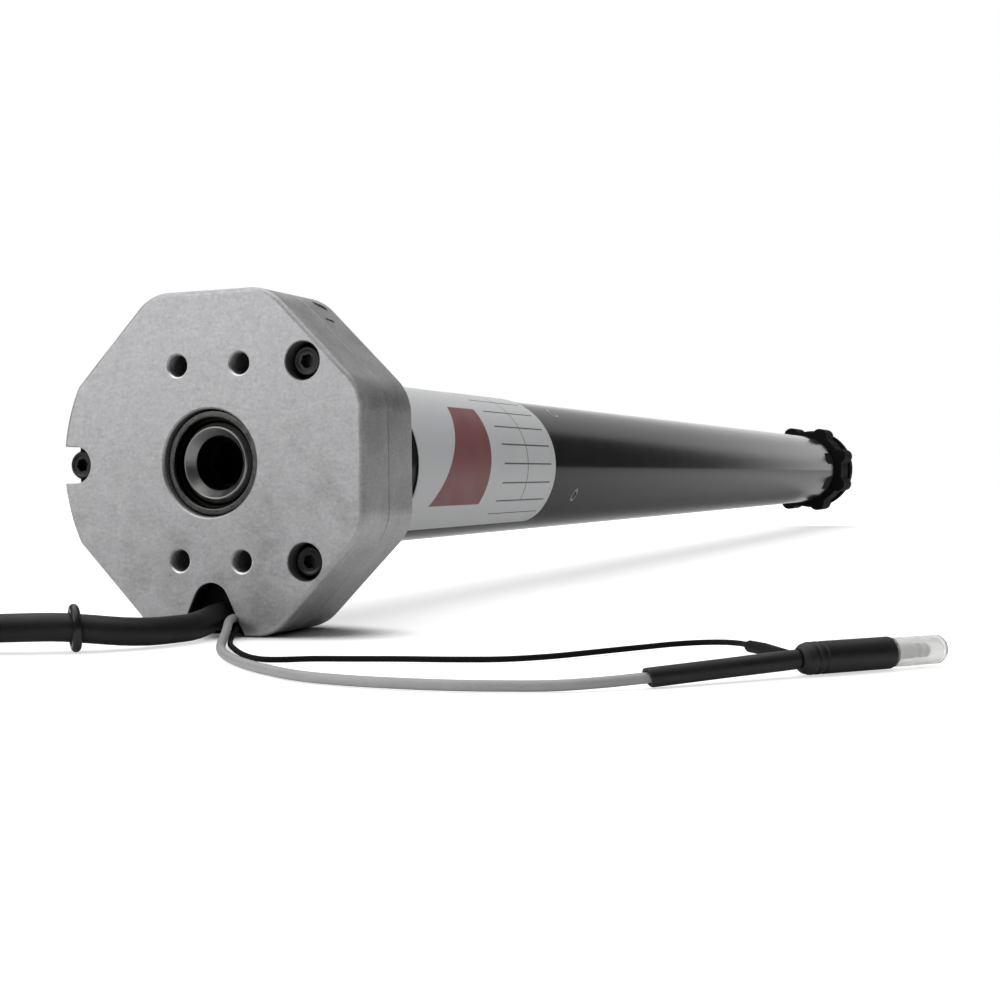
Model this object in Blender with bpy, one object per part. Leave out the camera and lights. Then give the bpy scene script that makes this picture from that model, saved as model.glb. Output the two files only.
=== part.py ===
"""Roller shutter motor: a tubular motor whose head takes a hand crank.

The tube holds the control board, the motor, its brake and a planetary gearbox that turns the drive wheel. The head is
fixed to the wall. A crank in the head's socket turns the whole tube through a planet train, when the power is off.

Pieces are modelled about the motor's axis: +Y runs along it from the head's front face, X is to the right and Z is up.
The empty motor_axis puts that frame in place, so that the head's lower flat rests on Z = 0 with the origin under the
middle of the motor. All sizes are in metres, and angles in degrees.
"""

import math

import bmesh
import bpy
import numpy as np

# Clearances
GAP = 0.0003            # between two pieces that touch or turn in one another
PLAY = 0.0006           # along the axis, between pieces that turn past one another
OVERLAP = 0.0005        # how far two shapes of one piece run into each other
WELD = 0.000002         # points closer than this are one

# Head
HEAD_ACROSS = 0.081     # across the octagon's level and upright flats
HEAD_SLANT_ACROSS = 0.080  # across its slanted flats
HEAD_ARC_BULGE = 0.00155  # how far the left side's arc stands out past the flat that it replaces
HEAD_CORNER_R = 0.012
HEAD_BEVEL = 0.0012
COVER_THICK = 0.0127
HOUSING_THICK = 0.0130
HOUSING_WALL = 0.0099   # from the head's flats to the gear chamber
HOUSING_BACK = 0.0030
MOUNT_SPACING_X = 0.0170
MOUNT_SPACING_Z = 0.0460
MOUNT_HOLE_R = 0.0026   # tapped M6
MOUNT_HOLE_DEPTH = 0.0090

# Cover screws
SCREW_R = 0.0020
SCREW_HEAD_R = 0.0035
SCREW_HEAD_HIGH = 0.0040
SCREW_RIM = 0.0004      # bevel of the screw's head
SCREW_SHANK = 0.0130
SCREW_KEY_ACROSS = 0.0030
SCREW_KEY_DEEP = 0.0022
SCREW_SINK = 0.0022     # from the head's face to the top of the screw
COUNTERBORE_R = 0.0043
SCREW_EDGE = 0.0064     # from the chamfer to the upper and lower screws
SCREW_ANGLE = 42.3
SIDE_SCREW_EDGE = 0.00395
SIDE_NOTCH_HALF = 0.0045

# Cable arch
ARCH_RISE = 0.0124
ARCH_R = 0.0048
ARCH_FLARE = 26.0
GLAND_SINK = 0.0050
GLAND_THICK = 0.0047
BRUSH_WIDE = 0.0094
BRUSH_HIGH = 0.0066
BRUSH_OPEN = 0.0016     # how far the brush's room is cut into the gear chamber

# Crank drive
CRANK_HOLE_R = 0.01265
SOCKET_R = 0.0098
SOCKET_SINK = 0.0024
SOCKET_EDGE = 0.0003
SOCKET_MOUTH_R = 0.0064
SOCKET_BEVEL_DEEP = 0.0022
SOCKET_BORE_DEEP = 0.0054
HEX_ACROSS = 0.0100
HEX_DEEP = 0.0070
RING_SINK = 0.0015
RING_THICK = 0.0015
RING_BORE_R = 0.0108
PLATE_THICK = 0.0021
PLATE_MARGIN = 0.0085   # from the middle of the pins to the plate's edge
CRANK_PIN_R = 0.0025
CRANK_SUN_TEETH = 15
CRANK_PLANET_TEETH = 15
FLANGE_RIM = 0.0018     # behind the flange's internal teeth
FLANGE_WEB = 0.0024
FLANGE_BOSS = 0.0013    # what the web is thicker by, inside the neck
FLANGE_NECK_LONG = 0.0233
FLANGE_NECK_WALL = 0.0025
WIRE_HOLE_R = 0.0060
SLIP_RING_WIDE = 0.0016
SLIP_RING_THICK = 0.0010

# Tube and label
TUBE_ACROSS = 0.0450
TUBE_WALL = 0.0015
TUBE_LONG = 0.6894
LABEL_START = 0.0398    # from the head's back
LABEL_LONG = 0.1062
LABEL_FROM = -54.0
LABEL_TO = 126.0
LABEL_THICK = 0.00025

# Motor
BOARD_LONG = 0.160
BOARD_HALF = 0.0165
BOARD_THICK = 0.0016
BOARD_INSERT = 0.0064   # how far the board stands in the flange's neck
RELAY_WIDE = 0.0120
RELAY_LONG = 0.0180
RELAY_HIGH = 0.0090
RELAY_PLACES = ((-0.0066, 0.040), (0.0066, 0.080), (-0.0033, 0.120))
CAPACITOR_R = 0.0180
CAPACITOR_LONG = 0.080
BRAKE_LONG = 0.0380
BRAKE_DISC_THICK = 0.0040
BRACKET_THICK = 0.0100
BEARING_R = 0.0090
BEARING_WIDE = 0.0080
WINDING_LONG = 0.0160
WINDING_WALL = 0.0060
STATOR_LONG = 0.130
ROTOR_R = 0.0120
SHAFT_R = 0.0040

# Gearbox
SUN_TEETH = 9
PLANET_TEETH = 15
RING_WALL = 0.0020
STAGE_WIDE = (0.014, 0.018, 0.024)
CARRIER_THICK = 0.0040
PIN_R = 0.0023
PRESSURE_ANGLE = 20.0
TOOTH_FILL = 0.42       # of the pitch, so the teeth have backlash
ADDENDUM = 0.80         # in modules
DEDENDUM = 1.10

# Drive end
CAP_DEEP = 0.0300
CAP_RIM = 0.0032
CAP_NECK_R = 0.0140
CAP_NECK_LONG = 0.0085
KEY_COUNT = 8
KEY_TURN = 17.5
KEY_SLOT_HALF = 0.0038
KEY_SLOT_LONG = 0.0230
BUSH_WALL = 0.0027
OUTPUT_R = 0.0080
OUTPUT_SQUARE = 0.0110
OUTPUT_TIP_R = 0.0050
OUTPUT_TIP_SINK = 0.0020
WHEEL_GAP = 0.0130      # from the tube's end to the wheel
WHEEL_WIDE = 0.0410
WHEEL_COLLAR = 0.0100   # how far the round body runs on past the lobes
WHEEL_COLLAR_STEP = 0.0003  # what the body is smaller by there
WHEEL_BODY_R = 0.0257
WHEEL_LOBES = 8
WHEEL_LOBE_OUT = 0.0042
LOBE_R = 0.0048
WHEEL_TURN = -2.5
WHEEL_RIM = 0.0045
WHEEL_HUB_R = 0.0130
WHEEL_RIB = 0.0040
WHEEL_POCKET = 0.0240
WHEEL_RECESS = 0.0060
CLIP_THICK = 0.0012
CLIP_WIDE = 0.0027

# Cords: places are from the point of the floor under the head's face, as x, y and height
CABLE_ACROSS = 0.0062
CABLE_ROUTE = (
    (0.0010, 0.0043, 0.0047), (0.0012, 0.0006, 0.0045), (0.0024, -0.0057, 0.0039), (0.0031, -0.0122, 0.0034),
    (0.0024, -0.0186, 0.0034), (0.0005, -0.0248, 0.0035), (-0.0028, -0.0304, 0.0040), (-0.0073, -0.0350, 0.0048),
    (-0.0127, -0.0386, 0.0054), (-0.0195, -0.0416, 0.0054), (-0.0301, -0.0448, 0.0051), (-0.0447, -0.0481, 0.0045),
    (-0.0611, -0.0531, 0.0043),
)
CORD_STEP = 2.5         # between the points of a cord's path, in diameters
O_RING_STEP = 3         # the point of the cable's path that carries the ring
O_RING_BAR_R = 0.0008
COIL_PLACE = (-0.0485, -0.0981)
COIL_MIDDLE_R = 0.0340
COIL_TURNS_WIDE = 3
COIL_TURNS_HIGH = 3
COIL_TAIL_AT = 200.0
TIE_THICK = 0.0007
TIE_WIDE = 0.0040
TIE_AT = 20.0
SHEATH_END = 0.0140
CORE_LONG = 0.0240
CORE_R = 0.0011
CORE_PITCH_R = 0.0015
LEAD_ACROSS = 0.0020
LEAD_ROUTE = (
    (0.0056, 0.0047, 0.0041), (0.0060, -0.0002, 0.0042), (0.0077, -0.0044, 0.0039), (0.0108, -0.0100, 0.0030),
    (0.0138, -0.0158, 0.0020), (0.0172, -0.0220, 0.0014), (0.0236, -0.0321, 0.0011), (0.0318, -0.0420, 0.0011),
    (0.0392, -0.0492, 0.0011), (0.0502, -0.0574, 0.0011), (0.0608, -0.0632, 0.0011), (0.0715, -0.0657, 0.0011),
    (0.0820, -0.0662, 0.0011), (0.0915, -0.0655, 0.0011), (0.1000, -0.0636, 0.0011), (0.1082, -0.0604, 0.0011),
    (0.1153, -0.0562, 0.0014), (0.1214, -0.0516, 0.0018),
)
AERIAL_ACROSS = 0.0012
AERIAL_ROUTE = (
    (0.0066, 0.0047, 0.0020), (0.0071, 0.0003, 0.0019), (0.0092, -0.0045, 0.0014), (0.0134, -0.0125, 0.0009),
    (0.0185, -0.0207, 0.0008), (0.0235, -0.0271, 0.0008), (0.0280, -0.0324, 0.0008), (0.0324, -0.0370, 0.0008),
    (0.0364, -0.0402, 0.0008), (0.0403, -0.0417, 0.0008), (0.0436, -0.0408, 0.0008), (0.0475, -0.0383, 0.0008),
    (0.0560, -0.0356, 0.0008), (0.0655, -0.0328, 0.0008), (0.0755, -0.0306, 0.0008), (0.0850, -0.0271, 0.0008),
    (0.0920, -0.0205, 0.0008), (0.0976, -0.0118, 0.0008), (0.1014, -0.0054, 0.0008), (0.1053, 0.0010, 0.0008),
    (0.1099, 0.0070, 0.0009), (0.1148, 0.0107, 0.0010), (0.1197, 0.0108, 0.0012), (0.1232, 0.0082, 0.0014),
    (0.1253, 0.0045, 0.0017), (0.1269, 0.0004, 0.0020), (0.1282, -0.0031, 0.0022),
)
PLUG_PLACE = (0.1216, -0.0514)
PLUG_HEADING = -43.0    # turned from +Y about Z
SLEEVE_R = 0.00175
SLEEVE_LONG = 0.0310
SLEEVE_EDGE = 0.0004
SLEEVE_START_HIGH = 0.0018
PLUG_R = 0.0030
PLUG_LONG = 0.0205
PLUG_NOSE = 0.0007
PLUG_TAIL = 0.0003
PLUG_GROOVE_AT = 0.0018
PLUG_GROOVE_WIDE = 0.0009
PLUG_GROOVE_DEEP = 0.0003
PLUG_CAP_R = 0.00275
PLUG_CAP_LONG = 0.0124
PLUG_CAP_DOME = 0.0019
TIP_R = 0.0012
TIP_END_R = 0.0007
TIP_LONG = 0.0256
TIP_TAPER_AT = 0.0100
TIP_PLACE = (0.12835, -0.0034, 0.0022)
TIP_HEADING = -151.3
TIP_PITCH = 3.3

# Places along the axis, worked out from the sizes above
HEAD_HALF = HEAD_ACROSS / 2
HEAD_ARC_R = HEAD_HALF + HEAD_ARC_BULGE
HOUSING_Y = COVER_THICK + GAP
HEAD_DEEP = HOUSING_Y + HOUSING_THICK
TUBE_R = TUBE_ACROSS / 2
TUBE_IN_R = TUBE_R - TUBE_WALL
INSERT_R = TUBE_IN_R - GAP
TUBE_Y = HEAD_DEEP + PLAY
TUBE_END = TUBE_Y + TUBE_LONG
WHEEL_Y = TUBE_END + WHEEL_GAP
MOTOR_LONG = WHEEL_Y + WHEEL_WIDE
AXIS_X = (HEAD_ARC_R - HEAD_HALF) / 2

# Crank train
CHAMBER_R = HEAD_HALF - HOUSING_WALL
CHAMBER_END = HEAD_DEEP - HOUSING_BACK
FLANGE_R = CHAMBER_R - GAP
CRANK_RING_TEETH = CRANK_SUN_TEETH + 2 * CRANK_PLANET_TEETH
CRANK_MODULE = (FLANGE_R - FLANGE_RIM) / (CRANK_RING_TEETH / 2 + DEDENDUM)
CRANK_PLANET_AT = CRANK_MODULE * (CRANK_SUN_TEETH + CRANK_PLANET_TEETH) / 2
FLANGE_Y = HOUSING_Y + GAP
FLANGE_BACK = CHAMBER_END - GAP
CRANK_FLOOR = FLANGE_BACK - FLANGE_WEB
PLANET_Y = HOUSING_Y + GAP
PLANET_END = CRANK_FLOOR - PLAY
PLATE_R = CRANK_PLANET_AT + PLATE_MARGIN
PLATE_Y = COVER_THICK - GAP - PLATE_THICK

# Gear train in the tube
RING_TEETH = SUN_TEETH + 2 * PLANET_TEETH
MODULE = (INSERT_R - RING_WALL) / (RING_TEETH / 2 + DEDENDUM)
PLANET_AT = MODULE * (SUN_TEETH + PLANET_TEETH) / 2
CARRIER_R = MODULE * (RING_TEETH / 2 - ADDENDUM) - GAP
STAGE_END = [0.0, 0.0, TUBE_END - CAP_DEEP - PLAY - CARRIER_THICK - PLAY]
for stage in (1, 0):
    STAGE_END[stage] = STAGE_END[stage + 1] - STAGE_WIDE[stage + 1] - PLAY - CARRIER_THICK - PLAY
GEARBOX_Y = STAGE_END[0] - STAGE_WIDE[0] - PLAY
FRONT_BRACKET_Y = GEARBOX_Y - GAP - BRACKET_THICK
STATOR_END = FRONT_BRACKET_Y - 2 * GAP - WINDING_LONG
STATOR_Y = STATOR_END - STATOR_LONG
REAR_BRACKET_Y = STATOR_Y - 2 * GAP - WINDING_LONG - BRACKET_THICK
BRAKE_DISC_Y = REAR_BRACKET_Y - PLAY - BRAKE_DISC_THICK
BRAKE_Y = BRAKE_DISC_Y - PLAY - BRAKE_LONG
CAPACITOR_Y = BRAKE_Y - GAP - CAPACITOR_LONG

# Facets in a full turn
COARSE = 16
ROUND = 24
FINE = 40

# Colour, roughness and metallic value of each finish
CAST_ALUMINIUM = ((0.42, 0.42, 0.43), 0.45, 0.9)
BRIGHT_STEEL = ((0.55, 0.55, 0.54), 0.28, 1.0)
BLACK_STEEL = ((0.02, 0.02, 0.022), 0.4, 0.7)
BRONZE = ((0.45, 0.33, 0.18), 0.4, 1.0)
COPPER = ((0.60, 0.28, 0.14), 0.35, 1.0)
DARK_PAINT = ((0.035, 0.036, 0.038), 0.35, 0.3)
LAMINATION = ((0.28, 0.28, 0.29), 0.5, 0.9)
BLACK_PLASTIC = ((0.018, 0.018, 0.019), 0.5, 0.0)
GREY_PLASTIC = ((0.22, 0.22, 0.23), 0.5, 0.0)
WHITE_PLASTIC = ((0.70, 0.70, 0.69), 0.45, 0.0)
BOARD_GREEN = ((0.03, 0.16, 0.07), 0.45, 0.0)
LABEL_WHITE = ((0.62, 0.62, 0.63), 0.5, 0.0)
BLACK_RUBBER = ((0.022, 0.022, 0.023), 0.6, 0.0)
GREY_SHEATH = ((0.36, 0.36, 0.36), 0.45, 0.0)
CLEAR_PLASTIC = ((0.75, 0.75, 0.74), 0.25, 0.0)


def clear_scene():
    """Take every object out of the open file."""
    for old in list(bpy.data.objects):
        bpy.data.objects.remove(old, do_unlink=True)


def empty(name, place):
    """An empty that carries the pieces of one frame."""
    mark = bpy.data.objects.new(name, None)
    mark.location = place
    bpy.context.collection.objects.link(mark)
    return mark


def around(radius, degrees):
    """The point (x, z) at an angle about the axis."""
    turn = math.radians(degrees)
    return radius * math.cos(turn), radius * math.sin(turn)


def arc(radius, start, end, count, centre=(0.0, 0.0)):
    """Points (x, z) along an arc, both ends included."""
    return [
        (centre[0] + x, centre[1] + z)
        for x, z in (around(radius, a) for a in np.linspace(start, end, count))
    ]


def circle(radius, facets, centre=(0.0, 0.0)):
    """Points (x, z) round a circle."""
    return arc(radius, 0, 360, facets + 1, centre)[:-1]


def regular(across, sides, turn=0.0):
    """A regular polygon by the distance across its flats."""
    corner_r = across / 2 / math.cos(math.pi / sides)
    return [around(corner_r, turn + 360 * (k + 0.5) / sides) for k in range(sides)]


def rectangle(x0, x1, z0, z1):
    """The four corners of a rectangle."""
    return [(x0, z0), (x1, z0), (x1, z1), (x0, z1)]


def closed(bm):
    """Weld a shape and turn its faces outwards."""
    bmesh.ops.remove_doubles(bm, verts=bm.verts, dist=WELD)
    bmesh.ops.recalc_face_normals(bm, faces=bm.faces)
    return bm


def skin(loops):
    """Join loops of as many points each into a closed shape with flat ends."""
    bm = bmesh.new()
    rows = [[bm.verts.new(point) for point in loop] for loop in loops]
    for row, after in zip(rows, rows[1:]):
        for k in range(len(row)):
            bm.faces.new((row[k - 1], row[k], after[k], after[k - 1]))
    bm.faces.new(rows[0])
    bm.faces.new(rows[-1])
    return closed(bm)


def loft(*sections):
    """Join flat sections, each an outline and its place along the axis."""
    return skin([[(x, y, z) for x, z in outline] for outline, y in sections])


def prism(outline, start, end, hole=None):
    """Carry an outline along the axis, with a hole through it if one is given."""
    if hole is None:
        return loft((outline, start), (outline, end))
    bm = bmesh.new()
    edges = []
    for loop in (outline, hole):
        ring = [bm.verts.new((x, start, z)) for x, z in loop]
        edges += [bm.edges.new((ring[k - 1], ring[k])) for k in range(len(ring))]
    bmesh.ops.triangle_fill(bm, use_beauty=True, edges=edges)
    swept = bmesh.ops.extrude_face_region(bm, geom=bm.faces[:])["geom"]
    moved = [item for item in swept if isinstance(item, bmesh.types.BMVert)]
    bmesh.ops.translate(bm, verts=moved, vec=(0, end - start, 0))
    return closed(bm)


def rod(radius, start, end, centre=(0.0, 0.0), facets=COARSE):
    """A plain cylinder along the axis."""
    return prism(circle(radius, facets, centre), start, end)


def turned(profile, facets=ROUND, ring=True):
    """Spin a profile of (radius, y) about the axis. A profile that is no ring runs from axis to axis."""
    bm = bmesh.new()
    points = [bm.verts.new((r, y, 0)) for r, y in profile]
    edges = [bm.edges.new(pair) for pair in zip(points, points[1:])]
    if ring:
        edges.append(bm.edges.new((points[-1], points[0])))
    bmesh.ops.spin(
        bm, geom=points + edges, cent=(0, 0, 0), axis=(0, 1, 0), angle=2 * math.pi, steps=facets, use_merge=True
    )
    return closed(bm)


def stepped(steps, facets=COARSE, place=(0.0, 0.0)):
    """A cutter of coaxial cylinders, each a radius and where it ends, after the place where the first one starts."""
    start, *cylinders = steps
    profile = [(0, start)]
    for radius, end in cylinders:
        profile += [(radius, profile[-1][1]), (radius, end)]
    shape = turned(profile + [(0, profile[-1][1])], facets, ring=False)
    bmesh.ops.translate(shape, verts=shape.verts, vec=(place[0], 0, place[1]))
    return shape


def collar(inner_r, outer_r, start, end, facets=ROUND):
    """A plain ring with square edges."""
    return turned([(inner_r, start), (outer_r, start), (outer_r, end), (inner_r, end)], facets)


def radial(outline, inner_r, outer_r, degrees):
    """Carry an outline of (sideways, y) outwards from one radius to another at an angle about the axis."""
    (cx, cz), (sx, sz) = around(1, degrees), around(1, degrees + 90)
    return skin(
        [[(r * cx + side * sx, y, r * cz + side * sz) for side, y in outline] for r in (inner_r, outer_r)]
    )


def gather(shapes):
    """Put shapes that lie apart into one mesh."""
    whole = bmesh.new()
    for shape in shapes:
        mesh = bpy.data.meshes.new("part")
        shape.to_mesh(mesh)
        shape.free()
        whole.from_mesh(mesh)
        bpy.data.meshes.remove(mesh)
    return whole


def mesh_object(name, bm):
    """Make an object of a shape, smooth where its facets meet gently."""
    mesh = bpy.data.meshes.new(name)
    bm.to_mesh(mesh)
    bm.free()
    mesh.shade_smooth()
    mesh.set_sharp_from_angle(angle=math.radians(32))
    made = bpy.data.objects.new(name, mesh)
    bpy.context.collection.objects.link(made)
    return made


def coat(made, finish):
    """Give an object its own material."""
    colour, roughness, metallic = finish
    material = bpy.data.materials.new(made.name + "_finish")
    material.use_nodes = True
    shader = material.node_tree.nodes["Principled BSDF"]
    shader.inputs["Base Color"].default_value = (*colour, 1.0)
    shader.inputs["Roughness"].default_value = roughness
    shader.inputs["Metallic"].default_value = metallic
    made.data.materials.append(material)


def piece(name, bm, finish, parent, place=(0.0, 0.0, 0.0), turn=(0.0, 0.0, 0.0)):
    """A finished piece in its parent's frame."""
    made = mesh_object(name, bm)
    coat(made, finish)
    made.parent = parent
    made.location = place
    made.rotation_euler = [math.radians(a) for a in turn]
    return made


def work(made, shape, operation):
    """Cut a shape out of a piece, or fuse it on."""
    tool = mesh_object(f"{made.name}_tool_{len(made.modifiers)}", shape)
    tool.parent = made
    tool.hide_render = True
    tool.display_type = "WIRE"
    step = made.modifiers.new(operation.lower(), "BOOLEAN")
    step.operation = operation
    step.solver = "EXACT"
    step.object = tool


def cut(made, *shapes):
    work(made, gather(shapes), "DIFFERENCE")


def fuse(made, *shapes):
    work(made, gather(shapes), "UNION")


def gear(teeth, module, internal=False):
    """A gear's outline, one tooth's middle (or one gap's, if internal) at the top, with involute flanks."""
    pitch_r = teeth * module / 2
    base_r = pitch_r * math.cos(math.radians(PRESSURE_ANGLE))
    fill = 1 - TOOTH_FILL if internal else TOOTH_FILL
    root_r = pitch_r - (ADDENDUM if internal else DEDENDUM) * module
    tip_r = pitch_r + (DEDENDUM if internal else ADDENDUM) * module

    def involute(radius):
        slope = math.acos(min(1.0, base_r / radius))
        return math.tan(slope) - slope

    outline = []
    for tooth in range(teeth):
        middle = 90 + 360 * tooth / teeth
        half_root, half_tip = (
            math.degrees(fill * math.pi / teeth + involute(pitch_r) - involute(r)) for r in (root_r, tip_r)
        )
        outline += [around(root_r, middle - half_root), around(tip_r, middle - half_tip)]
        outline += [around(tip_r, middle + half_tip), around(root_r, middle + half_root)]
    return outline


def planet_places(radius):
    """Three places about the axis, the first at the top, each with its angle from the top."""
    return [(around(radius, 90 + 120 * k), 120 * k) for k in range(3)]


def head_outline(inset=0.0):
    """An octagon with round corners, whose left flat is an arc about the axis."""
    corner_r = HEAD_CORNER_R - inset
    slant = HEAD_SLANT_ACROSS / 2 - inset
    arc_r = HEAD_ARC_R - inset
    arc_from = math.degrees(math.acos(slant / arc_r))
    # A corner's middle lies its radius behind both of its flats
    up = HEAD_HALF - HEAD_CORNER_R
    aside = math.sqrt(2) * (HEAD_SLANT_ACROSS / 2 - HEAD_CORNER_R) - up
    corner_at, lean = math.hypot(up, aside), math.degrees(math.atan2(aside, up))

    def corner(k):
        middle = 45 * (k + 1) - lean if k % 2 else 45 * k + lean
        return arc(corner_r, 45 * k, 45 * (k + 1), 5, around(corner_at, middle))

    outline = corner(0) + corner(1) + corner(2)
    outline += arc(arc_r, 135 + arc_from, 225 - arc_from, 13)
    return outline + corner(5) + corner(6) + corner(7)


def arch_outline(foot, inset=0.0):
    """The cable arch: a round top and sides that flare down to the height foot."""
    radius = ARCH_R - inset
    middle = -HEAD_HALF + ARCH_RISE - ARCH_R
    top = arc(radius, ARCH_FLARE, 180 - ARCH_FLARE, 9, (0.0, middle))
    spread = top[0][0] + (top[0][1] - foot) * math.tan(math.radians(ARCH_FLARE))
    return [(spread, foot)] + top + [(-spread, foot)]


def screw_places():
    """The three cover screws, by name."""
    upper = around(HEAD_HALF - SCREW_EDGE, SCREW_ANGLE)
    lower = around(HEAD_HALF - SCREW_EDGE, -SCREW_ANGLE)
    return {"upper": upper, "lower": lower, "side": (SIDE_SCREW_EDGE - HEAD_ARC_R, 0.0)}


def build_head(axis):
    """The cast cover and housing, their screws, the cable gland and the brush block."""
    places = screw_places()
    seat = SCREW_SINK + SCREW_HEAD_HIGH + GAP
    hole_r = SCREW_R + GAP

    cover = piece(
        "head_cover",
        loft((head_outline(HEAD_BEVEL), 0), (head_outline(), HEAD_BEVEL), (head_outline(), COVER_THICK)),
        CAST_ALUMINIUM, axis,
    )
    cut(cover, prism(arch_outline(-HEAD_HALF - OVERLAP), -OVERLAP, COVER_THICK + OVERLAP))
    mount_holes = [
        rod(MOUNT_HOLE_R, -OVERLAP, MOUNT_HOLE_DEPTH, (sx * MOUNT_SPACING_X / 2, sz * MOUNT_SPACING_Z / 2))
        for sx in (-1, 1) for sz in (-1, 1)
    ]
    past = COVER_THICK + OVERLAP
    crank_hole = stepped((-OVERLAP, (CRANK_HOLE_R, PLATE_Y - GAP), (PLATE_R + GAP, past)), FINE)
    cut(cover, crank_hole, *mount_holes)
    notch_end = places["side"][0] - GAP
    notch = arc(SIDE_NOTCH_HALF, -90, 90, 9, (notch_end, 0.0))
    notch += [(-2 * HEAD_HALF, SIDE_NOTCH_HALF), (-2 * HEAD_HALF, -SIDE_NOTCH_HALF)]
    screw_steps = (-OVERLAP, (COUNTERBORE_R, seat), (hole_r, past))
    screw_holes = [stepped(screw_steps, place=places[name]) for name in ("upper", "lower")]
    cut(cover, *screw_holes, prism(notch, -OVERLAP, seat))
    cut(cover, rod(hole_r, seat - OVERLAP, past, places["side"]))

    housing = piece(
        "head_housing",
        loft((head_outline(), HOUSING_Y), (head_outline(), HEAD_DEEP - HEAD_BEVEL),
             (head_outline(HEAD_BEVEL), HEAD_DEEP)),
        CAST_ALUMINIUM, axis,
    )
    shank_end = seat + SCREW_SHANK
    chamber = stepped((HOUSING_Y - OVERLAP, (CHAMBER_R, CHAMBER_END), (TUBE_IN_R, HEAD_DEEP + OVERLAP)), FINE)
    cut(housing, chamber, *(rod(hole_r, HOUSING_Y - OVERLAP, shank_end + GAP, at) for at in places.values()))
    brush_top = -FLANGE_R - GAP
    brush = rectangle(-BRUSH_WIDE / 2, BRUSH_WIDE / 2, brush_top - BRUSH_HIGH, brush_top)
    brush_room = rectangle(
        -BRUSH_WIDE / 2 - GAP, BRUSH_WIDE / 2 + GAP, brush_top - BRUSH_HIGH - GAP, -CHAMBER_R + BRUSH_OPEN
    )
    cut(housing, prism(brush_room, HOUSING_Y - OVERLAP, CHAMBER_END - PLAY))
    piece("brush_block", prism(brush, HOUSING_Y + GAP, CHAMBER_END - PLAY - GAP), BLACK_PLASTIC, axis)

    for name, place in places.items():
        top = seat - GAP - SCREW_HEAD_HIGH
        profile = [(0, top), (SCREW_HEAD_R - SCREW_RIM, top), (SCREW_HEAD_R, top + SCREW_RIM)]
        profile += [(SCREW_HEAD_R, seat - GAP)]
        profile += [(SCREW_R, seat - GAP), (SCREW_R, shank_end - GAP), (0, shank_end - GAP)]
        screw = piece(
            f"cover_screw_{name}", turned(profile, COARSE, ring=False), BLACK_STEEL, axis, (place[0], 0, place[1])
        )
        cut(screw, prism(regular(SCREW_KEY_ACROSS, 6), top - OVERLAP, top + SCREW_KEY_DEEP))

    gland = arch_outline(-HEAD_HALF + PLAY, GAP)
    piece("cable_gland", prism(gland, GLAND_SINK, GLAND_SINK + GLAND_THICK), BLACK_RUBBER, axis)


def build_crank_drive(axis):
    """The crank socket with its pinion, the planets on their plate, and what holds the socket in the cover."""
    front = SOCKET_SINK
    bevel_end = front + SOCKET_BEVEL_DEEP
    bore_end = bevel_end + SOCKET_BORE_DEEP
    sun = gear(CRANK_SUN_TEETH, CRANK_MODULE)
    core_r = CRANK_MODULE * (CRANK_SUN_TEETH / 2 - DEDENDUM) - GAP
    profile = [(0, bore_end), (SOCKET_MOUTH_R, bore_end), (SOCKET_MOUTH_R, bevel_end)]
    profile += [(SOCKET_R - 2 * SOCKET_EDGE, front), (SOCKET_R - SOCKET_EDGE, front)]
    profile += [(SOCKET_R, front + SOCKET_EDGE)]
    profile += [(SOCKET_R, COVER_THICK), (core_r, COVER_THICK), (core_r, PLANET_END - OVERLAP)]
    profile += [(0, PLANET_END - OVERLAP)]
    socket = piece("crank_socket", turned(profile, FINE, ring=False), BRIGHT_STEEL, axis)
    fuse(socket, prism(sun, COVER_THICK - OVERLAP, PLANET_END))
    cut(socket, prism(regular(HEX_ACROSS, 6), bore_end - OVERLAP, bore_end + HEX_DEEP))

    ring_end = RING_SINK + RING_THICK
    seat_r = CRANK_HOLE_R - GAP
    piece("retaining_ring", collar(RING_BORE_R, seat_r, RING_SINK, ring_end, FINE), BRIGHT_STEEL, axis)
    piece(
        "socket_bush", collar(SOCKET_R + GAP, seat_r, ring_end + GAP, PLATE_Y - GAP, FINE), BRONZE, axis
    )
    plate = piece(
        "planet_plate",
        collar(SOCKET_R + 2 * GAP, PLATE_R, PLATE_Y, PLATE_Y + PLATE_THICK), BRIGHT_STEEL, axis,
    )
    pin_y = PLATE_Y + PLATE_THICK - OVERLAP
    fuse(plate, *(rod(CRANK_PIN_R, pin_y, PLANET_END, at) for at, _ in planet_places(CRANK_PLANET_AT)))
    tooth_row = gear(CRANK_PLANET_TEETH, CRANK_MODULE)
    bore = circle(CRANK_PIN_R + GAP, COARSE)
    for k, ((x, z), turn) in enumerate(planet_places(CRANK_PLANET_AT), 1):
        piece(
            f"crank_planet_{k}", prism(tooth_row, PLANET_Y, PLANET_END, bore), BRIGHT_STEEL, axis,
            (x, 0, z), (0, -turn, 0),
        )


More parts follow.
